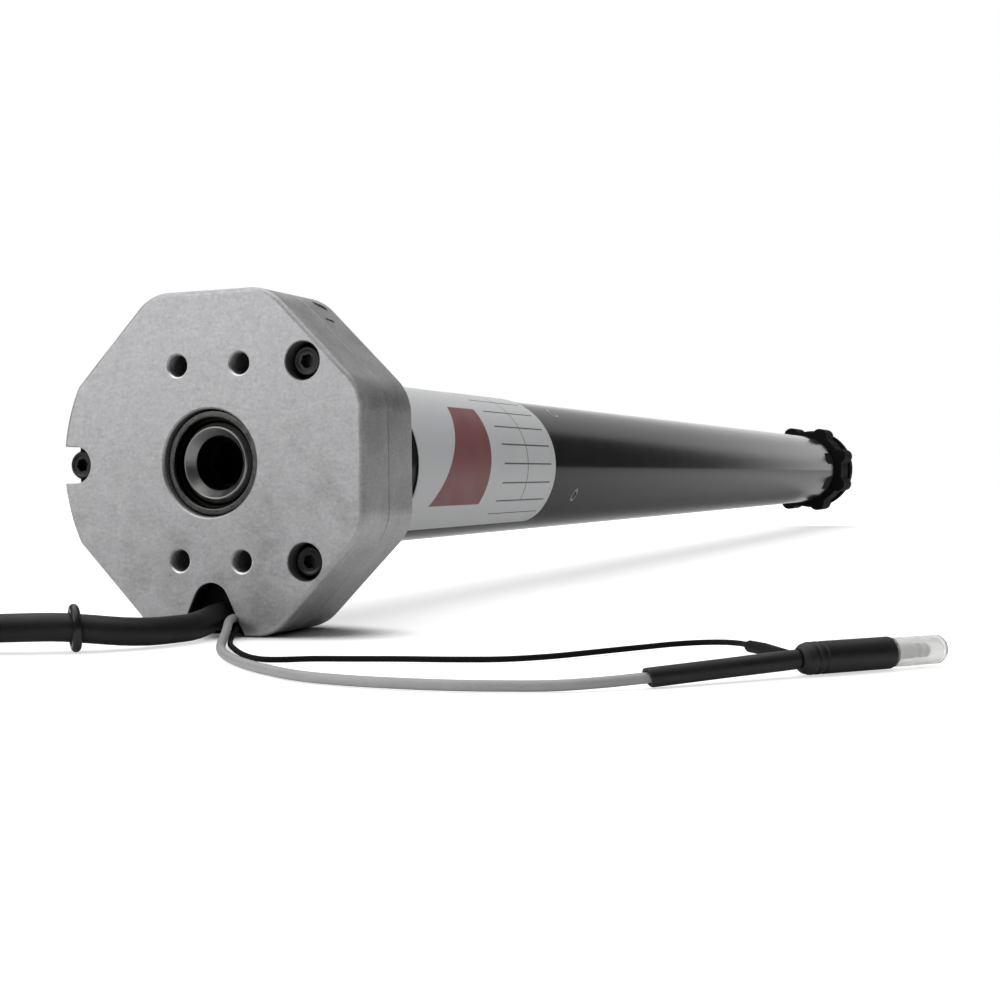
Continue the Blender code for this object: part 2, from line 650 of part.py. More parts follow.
def build_flange(axis):
    """The tube's flange: internal teeth for the crank train, a slip ring, and a neck that fits the tube."""
    slip_in_r = FLANGE_R - SLIP_RING_THICK - GAP
    slip_end = FLANGE_BACK - GAP
    slip_y = slip_end - SLIP_RING_WIDE - 2 * GAP
    web_back = FLANGE_BACK + FLANGE_BOSS
    neck_in_r = INSERT_R - FLANGE_NECK_WALL
    neck_end = FLANGE_BACK + FLANGE_NECK_LONG
    profile = [(WIRE_HOLE_R, FLANGE_Y), (FLANGE_R, FLANGE_Y), (FLANGE_R, slip_y), (slip_in_r, slip_y)]
    profile += [(slip_in_r, slip_end), (FLANGE_R, slip_end), (FLANGE_R, FLANGE_BACK), (INSERT_R, FLANGE_BACK)]
    profile += [(INSERT_R, neck_end), (neck_in_r, neck_end), (neck_in_r, web_back), (WIRE_HOLE_R, web_back)]
    flange = piece("tube_flange", turned(profile, FINE), CAST_ALUMINIUM, axis)
    cut(flange, prism(gear(CRANK_RING_TEETH, CRANK_MODULE, internal=True), FLANGE_Y - OVERLAP, CRANK_FLOOR))
    piece(
        "slip_ring", collar(slip_in_r + GAP, FLANGE_R, slip_y + GAP, slip_end - GAP, FINE), COPPER, axis
    )
    return neck_end


def slot_outline(half, start, end, facets=7):
    """A slot along the axis, as (sideways, y), with a round end at its start."""
    round_end = [(x, start + half + y) for x, y in arc(half, 180, 360, facets)]
    return round_end + [(half, end), (-half, end)]


def build_tube(axis):
    """The tube with its key slots, and the rating label on it."""
    tube = piece("motor_tube", collar(TUBE_IN_R, TUBE_R, TUBE_Y, TUBE_END, FINE), DARK_PAINT, axis)
    slot = slot_outline(KEY_SLOT_HALF, TUBE_END - KEY_SLOT_LONG, TUBE_END + OVERLAP)
    reach = (TUBE_IN_R - 2 * TUBE_WALL, TUBE_R + 2 * TUBE_WALL)
    cut(tube, *(radial(slot, *reach, KEY_TURN + 360 * k / KEY_COUNT) for k in range(KEY_COUNT)))
    label_r = TUBE_R + GAP
    label = arc(label_r + LABEL_THICK, LABEL_FROM, LABEL_TO, 25) + arc(label_r, LABEL_TO, LABEL_FROM, 25)
    start = HEAD_DEEP + LABEL_START
    piece("rating_label", prism(label, start, start + LABEL_LONG), LABEL_WHITE, axis)


def build_electrics(axis, neck_end):
    """The control board, which stands in the flange's neck, and the run capacitor."""
    board_y = neck_end - BOARD_INSERT
    top = -BOARD_THICK
    board = piece(
        "control_board",
        prism(rectangle(-BOARD_HALF, BOARD_HALF, top - BOARD_THICK, top), board_y, board_y + BOARD_LONG),
        BOARD_GREEN, axis,
    )
    relays = [
        prism(
            rectangle(side - RELAY_WIDE / 2, side + RELAY_WIDE / 2, top - BOARD_THICK / 2, top + RELAY_HIGH),
            board_y + along, board_y + along + RELAY_LONG,
        )
        for side, along in RELAY_PLACES
    ]
    fuse(board, *relays)
    piece(
        "run_capacitor",
        rod(CAPACITOR_R, CAPACITOR_Y, CAPACITOR_Y + CAPACITOR_LONG, (0, CAPACITOR_R - INSERT_R), ROUND),
        WHITE_PLASTIC, axis,
    )


def build_motor(axis):
    """The stator with its windings, the rotor on its shaft, the brackets with their bearings, and the brake."""
    turn_r = SHAFT_R + GAP
    stator_in_r = ROTOR_R + GAP
    winding = (stator_in_r + GAP, stator_in_r + GAP + WINDING_WALL)
    piece("stator_core", collar(stator_in_r, INSERT_R, STATOR_Y, STATOR_END), LAMINATION, axis)
    piece("rear_winding", collar(*winding, STATOR_Y - GAP - WINDING_LONG, STATOR_Y - GAP), COPPER, axis)
    piece("front_winding", collar(*winding, STATOR_END + GAP, STATOR_END + GAP + WINDING_LONG), COPPER, axis)
    for name, start in (("rear", REAR_BRACKET_Y), ("front", FRONT_BRACKET_Y)):
        end = start + BRACKET_THICK
        middle = start + BRACKET_THICK / 2
        piece(f"{name}_bracket", collar(BEARING_R + GAP, INSERT_R, start, end), CAST_ALUMINIUM, axis)
        piece(
            f"{name}_bearing",
            collar(turn_r, BEARING_R, middle - BEARING_WIDE / 2, middle + BEARING_WIDE / 2), BRIGHT_STEEL, axis,
        )
    piece("rotor_core", collar(turn_r, ROTOR_R, STATOR_Y, STATOR_END), LAMINATION, axis)
    piece(
        "brake_magnet", collar(SHAFT_R + PLAY, INSERT_R, BRAKE_Y, BRAKE_Y + BRAKE_LONG), GREY_PLASTIC, axis
    )
    piece(
        "brake_disc",
        collar(turn_r, INSERT_R - WINDING_WALL / 2, BRAKE_DISC_Y, BRAKE_DISC_Y + BRAKE_DISC_THICK),
        BLACK_STEEL, axis,
    )
    shaft = piece(
        "rotor_shaft", rod(SHAFT_R, BRAKE_Y + BRAKE_LONG / 2, GEARBOX_Y, facets=COARSE), BRIGHT_STEEL, axis
    )
    fuse(shaft, prism(gear(SUN_TEETH, MODULE), GEARBOX_Y - OVERLAP, STAGE_END[0]))


def build_gearbox(axis):
    """Three planetary stages in one ring gear. Each carrier's pins hold its planets and it drives the next sun."""
    ring = circle(INSERT_R, FINE)
    hollow = gear(RING_TEETH, MODULE, internal=True)
    piece("ring_gear", prism(ring, GEARBOX_Y, STAGE_END[2] + PLAY, hollow), BRIGHT_STEEL, axis)
    sun = gear(SUN_TEETH, MODULE)
    tooth_row = gear(PLANET_TEETH, MODULE)
    bore = circle(PIN_R + GAP, COARSE)
    carriers = []
    for stage, name in enumerate(("first_carrier", "second_carrier", "output_shaft")):
        start, end = STAGE_END[stage] - STAGE_WIDE[stage], STAGE_END[stage]
        for k, ((x, z), turn) in enumerate(planet_places(PLANET_AT), 1):
            piece(
                f"stage_{stage + 1}_planet_{k}", prism(tooth_row, start, end, bore), BRIGHT_STEEL, axis,
                (x, 0, z), (0, -turn, 0),
            )
        plate_y = end + PLAY
        carrier = piece(name, rod(CARRIER_R, plate_y, plate_y + CARRIER_THICK, facets=ROUND), BRIGHT_STEEL, axis)
        fuse(carrier, *(rod(PIN_R, start, plate_y + OVERLAP, at) for at, _ in planet_places(PLANET_AT)))
        if stage < 2:
            fuse(carrier, prism(sun, plate_y + CARRIER_THICK - OVERLAP, STAGE_END[stage + 1]))
        carriers.append(carrier)
    return carriers[-1]


def wheel_outline():
    """A round body with lobes, each a smaller circle that stands out of the body."""
    lobe_at = WHEEL_BODY_R + WHEEL_LOBE_OUT - LOBE_R
    reach = math.degrees(math.acos(
        (lobe_at ** 2 + WHEEL_BODY_R ** 2 - LOBE_R ** 2) / (2 * lobe_at * WHEEL_BODY_R)
    ))
    meets = around(WHEEL_BODY_R, reach)
    open_half = math.degrees(math.atan2(meets[1], meets[0] - lobe_at))
    pitch = 360 / WHEEL_LOBES
    outline = []
    for k in range(WHEEL_LOBES):
        middle = WHEEL_TURN + pitch * (k - 0.5)
        outline += arc(LOBE_R, middle - open_half, middle + open_half, 9, around(lobe_at, middle))
        outline += arc(WHEEL_BODY_R, middle + reach, middle + pitch - reach, 5)[1:-1]
    return outline


def build_drive_end(axis, output):
    """The end cap with its keys, the output bush and shaft end, the drive wheel and the clip that keeps it on."""
    rim_y = TUBE_END + GAP
    rim_end = rim_y + CAP_RIM
    bush_r = OUTPUT_R + GAP + BUSH_WALL
    neck_end = rim_end + CAP_NECK_LONG
    cap_y = TUBE_END - CAP_DEEP
    rim_r = TUBE_R - GAP
    profile = [(bush_r + GAP, cap_y), (INSERT_R, cap_y), (INSERT_R, rim_y), (rim_r, rim_y), (rim_r, rim_end)]
    profile += [(CAP_NECK_R, rim_end), (CAP_NECK_R, neck_end), (bush_r + GAP, neck_end)]
    cap = piece("end_cap", turned(profile, FINE), BLACK_PLASTIC, axis)
    key = slot_outline(KEY_SLOT_HALF - GAP, TUBE_END - KEY_SLOT_LONG + GAP, rim_y + OVERLAP)
    reach = (INSERT_R - 2 * OVERLAP, rim_r)
    fuse(cap, *(radial(key, *reach, KEY_TURN + 360 * k / KEY_COUNT) for k in range(KEY_COUNT)))
    piece("output_bush", collar(OUTPUT_R + GAP, bush_r, cap_y, neck_end), BRONZE, axis)

    plate_end = STAGE_END[2] + PLAY + CARRIER_THICK
    floor_y = MOTOR_LONG - WHEEL_RECESS
    fuse(output, rod(OUTPUT_R, plate_end - OVERLAP, WHEEL_Y - GAP, facets=ROUND))
    fuse(output, prism(regular(OUTPUT_SQUARE, 4, WHEEL_TURN), WHEEL_Y - GAP - OVERLAP, floor_y))
    fuse(output, rod(OUTPUT_TIP_R, floor_y - OVERLAP, MOTOR_LONG - OUTPUT_TIP_SINK))

    lobe_end = MOTOR_LONG - WHEEL_COLLAR
    wheel = piece("drive_wheel", prism(wheel_outline(), WHEEL_Y, lobe_end), BLACK_PLASTIC, axis)
    fuse(wheel, rod(WHEEL_BODY_R - WHEEL_COLLAR_STEP, lobe_end - OVERLAP, MOTOR_LONG, facets=FINE))
    cut(wheel, prism(regular(OUTPUT_SQUARE + 2 * GAP, 4, WHEEL_TURN), WHEEL_Y - OVERLAP, floor_y + OVERLAP))
    cut(wheel, rod(WHEEL_HUB_R - WHEEL_RIB, floor_y, MOTOR_LONG + OVERLAP, facets=ROUND))
    outer_r = WHEEL_BODY_R - WHEEL_RIM
    pockets = []
    for k in range(4):
        middle = WHEEL_TURN + 45 + 90 * k
        outer_half, inner_half = (45 - math.degrees(WHEEL_RIB / 2 / r) for r in (outer_r, WHEEL_HUB_R))
        sector = arc(outer_r, middle - outer_half, middle + outer_half, 9)
        sector += arc(WHEEL_HUB_R, middle + inner_half, middle - inner_half, 7)
        pockets.append(prism(sector, MOTOR_LONG - WHEEL_POCKET, MOTOR_LONG + OVERLAP))
    cut(wheel, *pockets)
    clip_r = OUTPUT_TIP_R + GAP
    clip_y = floor_y + GAP
    piece(
        "wheel_clip", collar(clip_r, clip_r + CLIP_WIDE, clip_y, clip_y + CLIP_THICK, COARSE),
        BRIGHT_STEEL, axis,
    )


def smooth_route(points, spacing):
    """Steps along a smooth curve through the points: cubic pieces whose slopes come from their neighbours."""
    points = np.array(points)
    knots = np.concatenate(([0.0], np.cumsum(np.linalg.norm(np.diff(points, axis=0), axis=1))))
    slopes = np.gradient(points, knots, axis=0)
    dense = []
    for k, span in enumerate(np.diff(knots)):
        t = np.linspace(0, 1, 24, endpoint=False)[:, None]
        dense.append(
            (1 + 2 * t) * (1 - t) ** 2 * points[k] + t * (1 - t) ** 2 * span * slopes[k]
            + t ** 2 * (3 - 2 * t) * points[k + 1] + t ** 2 * (t - 1) * span * slopes[k + 1]
        )
    dense = np.concatenate(dense + [points[-1:]])
    along = np.concatenate(([0.0], np.cumsum(np.linalg.norm(np.diff(dense, axis=0), axis=1))))
    steps = np.append(np.arange(0, along[-1] - spacing / 2, spacing), along[-1])
    return np.stack([np.interp(steps, along, dense[:, axis]) for axis in range(3)], axis=1)


def cord(name, route, across, finish, floor, facets_level):
    """A round cord along a route, as a curve with a round bevel and filled ends. Returns its path."""
    path = smooth_route(route, CORD_STEP * across)
    curve = bpy.data.curves.new(name, "CURVE")
    curve.dimensions = "3D"
    curve.bevel_depth = across / 2
    curve.bevel_resolution = facets_level
    curve.use_fill_caps = True
    spline = curve.splines.new("POLY")
    spline.points.add(len(path) - 1)
    for point, place in zip(spline.points, path):
        point.co = (*place, 1.0)
    made = bpy.data.objects.new(name, curve)
    bpy.context.collection.objects.link(made)
    coat(made, finish)
    made.parent = floor
    return path


def build_power_cable(floor):
    """The power cable up to its coil, with the ring on it, the coil with its tie, and the stripped end."""
    path = cord("power_cable", CABLE_ROUTE, CABLE_ACROSS, BLACK_RUBBER, floor, 3)
    along = path[O_RING_STEP + 1] - path[O_RING_STEP - 1]
    heading = math.degrees(math.atan2(-along[0], along[1]))
    bar_at = CABLE_ACROSS / 2 + GAP + O_RING_BAR_R
    bar = [(bar_at + x, y) for x, y in circle(O_RING_BAR_R, 8)]
    piece("cable_o_ring", turned(bar, COARSE), BLACK_RUBBER, floor, path[O_RING_STEP], (0, 0, heading))

    wide = COIL_TURNS_WIDE * CABLE_ACROSS
    low = TIE_THICK + GAP
    high = low + COIL_TURNS_HIGH * CABLE_ACROSS
    soft = CABLE_ACROSS / 2
    inner_r, outer_r = COIL_MIDDLE_R - wide / 2, COIL_MIDDLE_R + wide / 2
    section = [(inner_r, low + soft), (inner_r + soft, low), (outer_r - soft, low), (outer_r, low + soft)]
    section += [(outer_r, high - soft), (outer_r - soft, high), (inner_r + soft, high), (inner_r, high - soft)]
    piece("cable_coil", turned(section, FINE), BLACK_RUBBER, floor, (*COIL_PLACE, 0), (90, 0, 0))

    inside = rectangle(inner_r - GAP, outer_r + GAP, low - GAP, high + GAP)
    outside = rectangle(
        inner_r - GAP - TIE_THICK, outer_r + GAP + TIE_THICK, low - GAP - TIE_THICK, high + GAP + TIE_THICK
    )
    tie = prism(outside, -TIE_WIDE / 2, TIE_WIDE / 2, inside)
    piece("coil_tie", tie, BLACK_PLASTIC, floor, (*COIL_PLACE, 0), (0, 0, TIE_AT))

    tail_x, tail_y = around(outer_r + CABLE_ACROSS / 2 + GAP, COIL_TAIL_AT)
    end = piece(
        "stripped_end", rod(CABLE_ACROSS / 2, 0, SHEATH_END, facets=12), BLACK_RUBBER, floor,
        (COIL_PLACE[0] + tail_x, COIL_PLACE[1] + tail_y, low + CABLE_ACROSS / 2), (0, 0, COIL_TAIL_AT),
    )
    core_end = SHEATH_END + CORE_LONG
    fuse(end, *(rod(CORE_R, SHEATH_END - OVERLAP, core_end, at, 8) for at, _ in planet_places(CORE_PITCH_R)))


def build_service_lead(floor):
    """The thin service lead with its sleeve, plug and clear cap, and the aerial wire with its tip."""
    cord("service_lead", LEAD_ROUTE, LEAD_ACROSS, GREY_SHEATH, floor, 2)
    cord("aerial_wire", AERIAL_ROUTE, AERIAL_ACROSS, BLACK_RUBBER, floor, 2)
    plug_high = PLUG_R + GAP / 3
    pitch = math.degrees(math.asin((plug_high - SLEEVE_START_HIGH) / SLEEVE_LONG))
    sleeve = [(0, 0), (SLEEVE_R - SLEEVE_EDGE, 0), (SLEEVE_R, SLEEVE_EDGE), (SLEEVE_R, SLEEVE_LONG)]
    sleeve += [(0, SLEEVE_LONG)]
    piece(
        "lead_sleeve", turned(sleeve, 12, ring=False), BLACK_RUBBER, floor,
        (*PLUG_PLACE, SLEEVE_START_HIGH), (pitch, 0, PLUG_HEADING),
    )

    def along(distance):
        x, y = around(distance, PLUG_HEADING + 90)
        return PLUG_PLACE[0] + x, PLUG_PLACE[1] + y, plug_high

    groove_mid = PLUG_GROOVE_AT + PLUG_GROOVE_WIDE / 2
    body = [(0, 0), (PLUG_R - PLUG_NOSE, 0), (PLUG_R, PLUG_NOSE), (PLUG_R, PLUG_GROOVE_AT)]
    body += [(PLUG_R - PLUG_GROOVE_DEEP, groove_mid), (PLUG_R, PLUG_GROOVE_AT + PLUG_GROOVE_WIDE)]
    body += [(PLUG_R, PLUG_LONG - PLUG_TAIL), (PLUG_R - PLUG_TAIL, PLUG_LONG), (0, PLUG_LONG)]
    piece(
        "plug_body", turned(body, COARSE, ring=False), BLACK_RUBBER, floor,
        along(SLEEVE_LONG + GAP), (0, 0, PLUG_HEADING),
    )
    cap = [(0, 0), (PLUG_CAP_R, 0)]
    cap += [
        (PLUG_CAP_R * math.sin(a), PLUG_CAP_LONG - PLUG_CAP_DOME * (1 - math.cos(a)))
        for a in np.linspace(math.pi / 2, 0, 5)[:-1]
    ]
    cap.append((0, PLUG_CAP_LONG))
    piece(
        "plug_cap", turned(cap, COARSE, ring=False), CLEAR_PLASTIC, floor,
        along(SLEEVE_LONG + PLUG_LONG + 2 * GAP), (0, 0, PLUG_HEADING),
    )
    tip = [(0, 0), (TIP_R, 0), (TIP_R, TIP_TAPER_AT), (TIP_END_R, TIP_LONG), (0, TIP_LONG)]
    piece(
        "aerial_tip", turned(tip, 10, ring=False), BLACK_RUBBER, floor, TIP_PLACE, (TIP_PITCH, 0, TIP_HEADING)
    )


def main():
    clear_scene()
    axis = empty("motor_axis", (AXIS_X, -MOTOR_LONG / 2, HEAD_HALF))
    floor = empty("head_foot", (AXIS_X, -MOTOR_LONG / 2, 0))
    build_head(axis)
    build_crank_drive(axis)
    neck_end = build_flange(axis)
    build_tube(axis)
    build_electrics(axis, neck_end)
    build_motor(axis)
    output = build_gearbox(axis)
    build_drive_end(axis, output)
    build_power_cable(floor)
    build_service_lead(floor)


main()
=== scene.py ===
"""Looks of a roller shutter motor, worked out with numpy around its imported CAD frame."""

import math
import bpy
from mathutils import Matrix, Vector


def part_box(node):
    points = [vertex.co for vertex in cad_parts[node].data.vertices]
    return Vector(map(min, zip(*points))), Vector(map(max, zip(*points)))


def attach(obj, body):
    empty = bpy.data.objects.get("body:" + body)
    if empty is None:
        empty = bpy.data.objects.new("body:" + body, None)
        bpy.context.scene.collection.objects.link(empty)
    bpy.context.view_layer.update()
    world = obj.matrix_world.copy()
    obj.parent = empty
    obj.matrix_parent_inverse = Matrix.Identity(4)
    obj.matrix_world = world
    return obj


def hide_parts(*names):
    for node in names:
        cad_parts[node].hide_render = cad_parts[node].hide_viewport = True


bl_info = {
    "name": "Roller Shutter Motor",
    "version": (1, 0, 0),
    "blender": (4, 5, 0),
    "location": "3D View > Sidebar > Shutter Motor",
    "description": "Builds the looks of a roller shutter motor around its CAD frame",
    "category": "Object",
}

import bmesh
import bpy
import numpy as np
from bpy.props import FloatProperty, FloatVectorProperty, PointerProperty
from mathutils import Euler, Matrix, Vector
from mathutils.geometry import delaunay_2d_cdt

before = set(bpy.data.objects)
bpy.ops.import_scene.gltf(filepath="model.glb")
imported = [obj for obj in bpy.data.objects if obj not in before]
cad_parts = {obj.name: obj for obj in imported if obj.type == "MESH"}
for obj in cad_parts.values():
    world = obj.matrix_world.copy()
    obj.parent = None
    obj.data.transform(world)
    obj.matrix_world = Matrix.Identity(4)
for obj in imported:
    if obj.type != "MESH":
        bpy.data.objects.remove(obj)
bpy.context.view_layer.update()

# The motor's axis where it meets the head's face, and the floor under it
TUBE_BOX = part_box("motor_tube")
AXIS = np.array([
    (TUBE_BOX[0].x + TUBE_BOX[1].x) / 2,
    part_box("head_cover")[0].y,
    (TUBE_BOX[0].z + TUBE_BOX[1].z) / 2,
])
FOOT = AXIS * (1, 1, 0)
ON_AXIS = Matrix.Translation(AXIS.tolist())
ON_FOOT = Matrix.Translation(FOOT.tolist())

# Routes of the cords, from the floor under the head's face
CABLE_ROUTE = (
    (0.0010, 0.0043, 0.0047), (0.0012, 0.0006, 0.0045), (0.0024, -0.0057, 0.0039),
    (0.0031, -0.0122, 0.0034), (0.0024, -0.0186, 0.0034), (0.0005, -0.0248, 0.0035),
    (-0.0028, -0.0304, 0.0040), (-0.0073, -0.0350, 0.0048), (-0.0127, -0.0386, 0.0054),
    (-0.0195, -0.0416, 0.0054), (-0.0301, -0.0448, 0.0051), (-0.0447, -0.0481, 0.0045),
    (-0.0611, -0.0531, 0.0043),
)
LEAD_ROUTE = (
    (0.0056, 0.0047, 0.0041), (0.0060, -0.0002, 0.0042), (0.0077, -0.0044, 0.0039),
    (0.0108, -0.0100, 0.0030), (0.0138, -0.0158, 0.0020), (0.0172, -0.0220, 0.0014),
    (0.0236, -0.0321, 0.0011), (0.0318, -0.0420, 0.0011), (0.0392, -0.0492, 0.0011),
    (0.0502, -0.0574, 0.0011), (0.0608, -0.0632, 0.0011), (0.0715, -0.0657, 0.0011),
    (0.0820, -0.0662, 0.0011), (0.0915, -0.0655, 0.0011), (0.1000, -0.0636, 0.0011),
    (0.1082, -0.0604, 0.0011), (0.1153, -0.0562, 0.0014), (0.1214, -0.0516, 0.0018),
)
AERIAL_ROUTE = (
    (0.0066, 0.0047, 0.0020), (0.0071, 0.0003, 0.0019), (0.0092, -0.0045, 0.0014),
    (0.0134, -0.0125, 0.0009), (0.0185, -0.0207, 0.0008), (0.0235, -0.0271, 0.0008),
    (0.0280, -0.0324, 0.0008), (0.0324, -0.0370, 0.0008), (0.0364, -0.0402, 0.0008),
    (0.0403, -0.0417, 0.0008), (0.0436, -0.0408, 0.0008), (0.0475, -0.0383, 0.0008),
    (0.0560, -0.0356, 0.0008), (0.0655, -0.0328, 0.0008), (0.0755, -0.0306, 0.0008),
    (0.0850, -0.0271, 0.0008), (0.0920, -0.0205, 0.0008), (0.0976, -0.0118, 0.0008),
    (0.1014, -0.0054, 0.0008), (0.1053, 0.0010, 0.0008), (0.1099, 0.0070, 0.0009),
    (0.1148, 0.0107, 0.0010), (0.1197, 0.0108, 0.0012), (0.1232, 0.0082, 0.0014),
    (0.1253, 0.0045, 0.0017), (0.1269, 0.0004, 0.0020), (0.1282, -0.0031, 0.0022),
)

# The coil's middle, and in degrees: where the cable joins it, each turn's move to the next place, and its end
COIL_PLACE = (-0.0485, -0.0981)
COIL_ENTRY = 105.6
COIL_SHIFT = 40.0
COIL_TAIL = 200.0

# Places of the plug and the aerial's tip, with their headings in degrees
PLUG_PLACE = (0.1216, -0.0514, 0.0018)
PLUG_HEADING = -43.0
TIP_PLACE = (0.12835, -0.0034, 0.0022)
TIP_TURN = (3.3, 0.0, -151.3)

# Nicks in the head's upper right flat, painted black as shade, from the axis at the head's face: start, end
# and half the width
NICKS = (
    ((0.0182, 0.0192, 0.0383), (0.0191, 0.0214, 0.0375), 0.0021),
    ((0.0225, 0.0166, 0.0341), (0.0229, 0.0191, 0.0337), 0.0009),
)

# Stake marks of the tube: degrees round it from its right side, and distance from the head's face
STAKES = ((55.2, 0.1965), (-28.0, 0.1990))

# Colours of the white background, and of the painted shade deep in holes
WHITE = (1.0, 1.0, 1.0, 1.0)
BLACK = (0.004, 0.004, 0.004, 1.0)

# Insulation of the power cable's cores
CORE_COLOURS = {"brown": (0.10, 0.035, 0.015), "blue": (0.02, 0.06, 0.30), "green": (0.10, 0.28, 0.03)}

# Soft boxes: name, place, aim, width, height and power
SOFT_BOXES = (
    ("overhead", (-0.4, -0.1, 1.6), (0.0, -0.1, 0.0), 2.6, 2.6, 22.0),
    ("front_left", (-1.3, -2.0, 0.9), (0.0, -0.4, 0.05), 1.4, 1.4, 16.0),
)

# The photo's camera, fitted to the head: place from the axis at the face, yaw, pitch, roll, lens and sensor
CAMERA_PLACE = (0.19461, -0.29394, -0.00442)
CAMERA_TURN = (22.39, -0.825, -0.613)
CAMERA_LENS = 53.21
SENSOR = 36.0


def length(name, description, default):
    """A size in metres."""
    return FloatProperty(name=name, description=description, default=default, precision=5, unit="LENGTH")


def angle(name, description, degrees):
    """An angle, given in degrees and kept in radians."""
    return FloatProperty(
        name=name, description=description, default=math.radians(degrees), subtype="ANGLE", unit="ROTATION"
    )


def colour(name, description, default):
    """A linear colour."""
    return FloatVectorProperty(
        name=name, description=description, default=default, size=3, min=0.0, max=1.0, subtype="COLOR"
    )


class HeadSizes(bpy.types.PropertyGroup):
    """Sizes of the cast head and of its screws."""

    across: length("Across flats", "Across the octagon's level and upright flats", 0.081)
    slant: length("Across slants", "Across the octagon's slanted flats", 0.080)
    bulge: length("Arc bulge", "How far the left side's arc stands out past a flat", 0.00155)
    corner: length("Corner radius", "Radius of the octagon's corners", 0.012)
    bevel: length("Edge", "Rounding of the front and back edges", 0.0012)
    fine_edge: length("Fine edge", "Rounding of the holes' and the parting line's edges", 0.00025)
    cover: length("Cover", "Thickness of the cover", 0.0127)
    housing: length("Housing", "Thickness of the housing", 0.0130)
    gap: length("Gap", "Between the cover and the housing", 0.0003)
    chamber: length("Gear chamber", "Radius of the gear chamber in the housing", 0.0306)
    chamber_end: length("Chamber depth", "From the face to the end of the gear chamber", 0.0230)
    mount_x: length("Mount spacing across", "Between the tapped holes, sideways", 0.0170)
    mount_z: length("Mount spacing up", "Between the tapped holes, upward", 0.0460)
    mount_r: length("Tapped hole", "Radius of the tapped holes at the thread's crests", 0.00260)
    mount_mouth: length("Tapped mouth", "Radius of the tapped holes' chamfers at the face", 0.0030)
    mount_deep: length("Tapped depth", "Depth of the tapped holes", 0.0090)
    thread: length("Thread pitch", "Pitch of the tapped holes", 0.0010)
    thread_deep: length("Thread depth", "Depth of the thread", 0.00030)
    crank_r: length("Crank hole", "Radius of the hole for the crank socket", 0.01265)
    plate_r: length("Plate room", "Radius of the room for the planet plate, behind the crank hole", 0.0269)
    plate_y: length("Plate depth", "From the face to the room for the planet plate", 0.0100)
    counterbore: length("Counterbore", "Radius of the cap screws' counterbores", 0.0044)
    screw_hole: length("Screw hole", "Radius of the cap screws' holes", 0.0023)
    screw_at: length("Screw radius", "From the axis to the upper and lower cap screws", 0.0341)
    screw_turn: angle("Screw angle", "Of the upper cap screw, above the horizontal", 42.3)
    side_screw_x: length("Side screw", "Sideways place of the screw in the notch", -0.0381)
    notch: length("Notch", "Half the height of the notch for the side screw", 0.0045)
    seat: length("Screw seat", "From the face to the seat of the cap screws", 0.0065)
    screw_r: length("Screw", "Radius of the cap screws' shanks", 0.0020)
    cap_r: length("Screw head", "Radius of the cap screws' heads", 0.0035)
    cap_high: length("Screw head height", "Height of the cap screws' heads", 0.0040)
    key: length("Screw key", "Across the flats of the cap screws' hexagons", 0.0030)
    key_deep: length("Key depth", "Depth of the cap screws' hexagons", 0.0022)
    shank: length("Screw shank", "Length of the cap screws' shanks", 0.0127)
    arch_rise: length("Arch", "Height of the cable arch", 0.0124)
    arch_r: length("Arch radius", "Radius of the arch's top", 0.0048)
    arch_flare: angle("Arch flare", "How far the arch's sides lean out", 26.0)


class CrankSizes(bpy.types.PropertyGroup):
    """Sizes of the crank socket and its retaining ring."""

    socket_r: length("Socket", "Radius of the crank socket", 0.0098)
    sink: length("Sink", "From the head's face to the socket", 0.0024)
    rim_r: length("Rim", "Radius of the socket's front rim", 0.0087)
    rim_fall: length("Rim fall", "From the front rim to the socket's full radius", 0.0018)
    edge: length("Edge", "Rounding of the front rim", 0.0004)
    mouth_r: length("Mouth", "Radius of the socket's mouth", 0.0064)
    bevel: length("Bevel depth", "Depth of the mouth's bevel", 0.0022)
    bore: length("Bore depth", "Depth of the round bore", 0.0054)
    hex_across: length("Hexagon", "Across the flats of the crank's hexagon", 0.0100)
    hex_deep: length("Hexagon depth", "Depth of the crank's hexagon", 0.0070)
    shoulder: length("Shoulder", "From the head's face to the pinion", 0.0127)
    pinion_end: length("Pinion end", "From the head's face to the pinion's end", 0.0197)
    pinion_root: length("Pinion root", "Radius at the foot of the pinion's teeth", 0.00773)
    pinion_tip: length("Pinion tip", "Radius at the top of the pinion's teeth", 0.01002)
    ring_r: length("Ring bore", "Inner radius of the retaining ring", 0.0108)
    ring_out: length("Ring", "Outer radius of the retaining ring", 0.01235)
    ring_sink: length("Ring sink", "From the head's face to the retaining ring", 0.0015)
    ring_thick: length("Ring thickness", "Thickness of the retaining ring", 0.0015)


